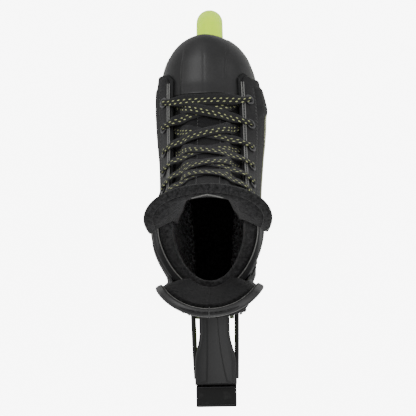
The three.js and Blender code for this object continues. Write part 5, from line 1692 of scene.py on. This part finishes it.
def makeFootbed():
    # a moulded insole: flat under the toes, cupped at the heel, with rounded edges
    p, wall = footbed, footbed["halfWall"]
    first, last = p["rows"]
    y = mixed(p["back"], p["front"], (1 - np.cos(np.linspace(0, math.pi, 90))) / 2)[:, None]
    c = 2 * bordered(30, 2, 60)[None, :] - 1
    y, c = np.broadcast_arrays(y, c)
    rows = np.linspace(first, last, 52)
    t = np.interp(-y, -form("backY", rows), rows)
    low = np.where(c < 0, form("innerLow", t), form("outerLow", t)) - 5
    low = low - mixed(7, 10, smoothStep(first, last, t))  # clear of the lining
    toeEnd = np.clip((y - form("backY", first)) / 34, 0, 1)
    heelEnd = np.clip((form("backY", last) - y) / 10, 0, 1)
    half = low * np.sqrt(np.maximum(1 - np.maximum(toeEnd, heelEnd) ** 2, 0))
    middle = np.stack([c * half, y, solePlane(y) + p["lift"] + wall], -1)
    share = edgeShare(middle, wall)
    cup = p["cup"] * np.abs(c) ** 3 * (1 - smoothStep(-50, 20, y))
    up = np.array([0.0, 0.0, 1.0])
    outer = middle + up * ((wall + cup) * share)[..., None]
    inner = middle - up * (wall * share)[..., None]
    piece = shell("footbed", outer, inner)
    finishPiece(piece, paints["felt"], "skate", ["footbed"])


makeCollar()
makeLining()
makeFootbed()
print("collar, lining and footbed made")


# Eyelets and lace.

lace = {"width": 12, "wall": 1.3, "neck": 3.0, "clear": 0.95, "over": 1.55, "sides": 16, "sag": 2.2}


def makeEyelet(side, word, number, t):
    # a rolled ring with its barrel, from under the quarter up to the flange on the facing
    p, high = lacing, eyeletLength / 2
    a = np.radians(np.linspace(-60, 200, 16))
    roll = np.stack([p["flange"] - 1.0 + 0.95 * np.cos(a), high - 0.5 + 0.62 * np.sin(a)], -1)
    profile = np.concatenate([[(p["bore"], -high), (p["radius"], -high), (p["radius"], high - 1.1)], roll,
                              [(p["bore"], high - 0.7), (p["bore"], -high)]])
    ring = onAxis(turnedPiece(f"eyelet{word}{number}", profile, (0, 0, 0), "z", 40), t, side)
    finishPiece(ring, paints["blackMetal"], "skate", [f"eyelet_{word.lower()}_{number}"])


def laceStop(t, degrees, inset, width):
    # a point of the route, the direction across the lace there, and its width
    centre = bootPoint(t, degrees % 360, inset)
    along = unit(bootPoint(t + 0.05, degrees % 360, inset) - bootPoint(t - 0.05, degrees % 360, inset))
    return np.concatenate([centre, along, [width]])


def laceDepth(t, degrees, start, lift):
    # on the tongue, or lifted where it crosses over, then up over the far facing
    side = 1 if degrees > 0 or (degrees == 0 and start > 0) else -1
    share = abs(degrees) / throatAngle(t, side)
    resting = tongueInset(t, degrees, side) - 0.7 - lace["clear"] - lift * (1 - smoothStep(0.5, 0.9, share))
    if side == start:
        return resting
    return mixed(resting, flangeTop - lace["clear"] - 0.1, smoothStep(0.5, 0.93, share))


def laceWidth(share):
    # narrower towards the eyelets at both ends of a strand
    near = min(share, 1 - share)
    return lace["width"] * (0.5 if near < 0.12 else 0.85 if near < 0.21 else 1)


def laceStrand(side, a, b, lift):
    # from level a, under the quarter of one side, to level b, over the facing of the other
    first, last = eyeletAngle(a, side), eyeletAngle(b, -side)
    stops = []
    for share in (0.1, 0.18, 0.26, 0.34, 0.42, 0.5, 0.58, 0.66, 0.75, 0.83, 0.9):
        t, degrees = mixed(a, b, share), mixed(first, last, share)
        stops.append(laceStop(t, degrees, laceDepth(t, degrees, side, lift), laceWidth(share)))
    return stops


def laceDive(side, t):
    # down through an eyelet, from above its ring to under the quarter
    middle, out = eyeletAxis(t, side)
    along = laceStop(t, eyeletAngle(t, side), 0, 0)[3:6]
    heights = (eyeletLength / 2 + 1.0, 0, -eyeletLength / 2 - 1.6)
    return [np.concatenate([middle + out * height, along, [lace["neck"] * grow]])
            for height, grow in zip(heights, (1.5, 1, 1.3))]


def laceClimb(first):
    # from the first level's eyelet on one side up to the last, crossing at each level
    levels = lacing["levels"]
    stops = []
    for i, level in enumerate(levels):
        side = first if i % 2 == 0 else -first
        stops += laceDive(side, level)
        if i < len(levels) - 1:
            over = (i % 2 == 0) == (side < 0)
            stops += laceStrand(side, level, levels[i + 1], lace["over"] if over else 0)
    return stops


def makeLace():
    # one lace: down one climb, over the bar between the two lowest eyelets, and up the other climb
    level = lacing["levels"][0]
    ends = eyeletAngle(level, -1), eyeletAngle(level, 1)
    bar = []
    for share in (0.1, 0.2, 0.3, 0.42, 0.54, 0.66, 0.76, 0.84, 0.91):
        degrees = mixed(*ends, share)
        sag = lace["sag"] * math.sin(share * math.pi)  # the bar hangs a little into the throat
        bar.append(laceStop(level, degrees, flangeTop - lace["clear"] + sag, laceWidth(share)))
    route = np.array(laceClimb(-1)[::-1] + bar + laceClimb(1))
    line = quickPath(route, 7)
    width = np.clip(line[:, 6], lace["neck"], lace["width"])
    ring = roundBar(1, 1, lace["sides"])
    thick = lace["wall"] * (1 + 0.5 * (1 - width / lace["width"]))
    profile = np.stack([ring[None, :, 0] * width[:, None], ring[None, :, 1] * thick[:, None]], -1)
    piece = sweep("lace", line[:, :3], line[:, 3:6], profile)
    finishPiece(piece, paints["lace"], "skate", ["lace"])


for side, word in ((-1, "Inner"), (1, "Outer")):
    for number, t in enumerate(lacing["levels"]):
        makeEyelet(side, word, number + 1, t)
makeLace()
print("eyelets and lace made")


# Camera, lights and floor.

studio = {
    "target": (-4.2, -2.1, 60), "distance": 1900, "tilt": 4.24, "roll": 1.15, "yaw": 1.04, "lens": 181,
    "sensor": 36,
    "floor": (0.86, 0.86, 0.86), "backdrop": 8.0, "sky": 0.5, "reach": 9000, "aim": (0, 0, 0.1),
    "lights": {"keyLight": ((-0.7, 0.9, 1.5), 0.9, 8), "fillLight": ((1.0, 0.3, 1.2), 1.0, 4),
               "rimLight": ((0.2, -1.2, 0.8), 0.7, 4)},
}


def makeCamera():
    # the camera looks back along a direction tilted forwards and sideways from straight down
    tilt, roll, yaw = (math.radians(studio[k]) for k in ("tilt", "roll", "yaw"))
    back = Vector((math.sin(roll), -math.sin(tilt) * math.cos(roll), math.cos(tilt) * math.cos(roll)))
    right = Vector((math.sin(yaw), math.cos(yaw), 0)).cross(back).normalized()
    up = back.cross(right)
    camera = bpy.data.objects.new("camera", bpy.data.cameras.new("camera"))
    bpy.context.scene.collection.objects.link(camera)
    place = Vector(studio["target"]) * millimetre + back * studio["distance"] * millimetre
    camera.matrix_world = Matrix((right, up, back)).transposed().to_4x4()
    camera.location = place
    camera.data.lens, camera.data.sensor_width = studio["lens"], studio["sensor"]
    camera.data.clip_end = 20
    bpy.context.scene.camera = camera


def makeLight(name, place, size, watts):
    # a soft round light, places and sizes in metres
    light = bpy.data.lights.new(name, "AREA")
    light.shape, light.size, light.energy = "DISK", size, watts
    holder = bpy.data.objects.new(name, light)
    bpy.context.scene.collection.objects.link(holder)
    holder.location = place
    holder.rotation_euler = (Vector(studio["aim"]) - Vector(place)).to_track_quat("-Z", "Y").to_euler()


makeCamera()
for name, settings in studio["lights"].items():
    makeLight(name, *settings)
sky = bpy.data.worlds.new("studioSky")
sky.use_nodes = True
background = sky.node_tree.nodes["Background"]
background.inputs[0].default_value = (1, 1, 1, 1)
# the backdrop looks white, and lights less than it shows
seenSky = sky.node_tree.nodes.new("ShaderNodeLightPath")
strength = sky.node_tree.nodes.new("ShaderNodeMath")
strength.operation = "MULTIPLY_ADD"
strength.inputs[1].default_value = studio["backdrop"] - studio["sky"]
strength.inputs[2].default_value = studio["sky"]
sky.node_tree.links.new(seenSky.outputs["Is Camera Ray"], strength.inputs[0])
sky.node_tree.links.new(strength.outputs[0], background.inputs[1])
bpy.context.scene.world = sky
floorPaint = Paint("paleFloor", studio["floor"], 0.7, specular=0.2)
floorPaint.set("Base Color", floorPaint.blend(floorPaint.noise(60, 2), (0.85, 0.85, 0.85),
                                              (0.88, 0.88, 0.88)))
seen = floorPaint.add("ShaderNodeLightPath")
floorPaint.set("Emission Color", floorPaint.blend(seen, (0, 0, 0), (1, 1, 1)))
floorPaint.set("Emission Strength", studio["backdrop"] - studio["sky"])
reach = studio["reach"]
corners = [(-reach, -reach, 0), (reach, -reach, 0), (reach, reach, 0), (-reach, reach, 0)]
floorMesh = makeMesh("floor", corners, [[0, 1, 2, 3]])
floorMesh.data.materials.append(floorPaint.material)
print("studio made")
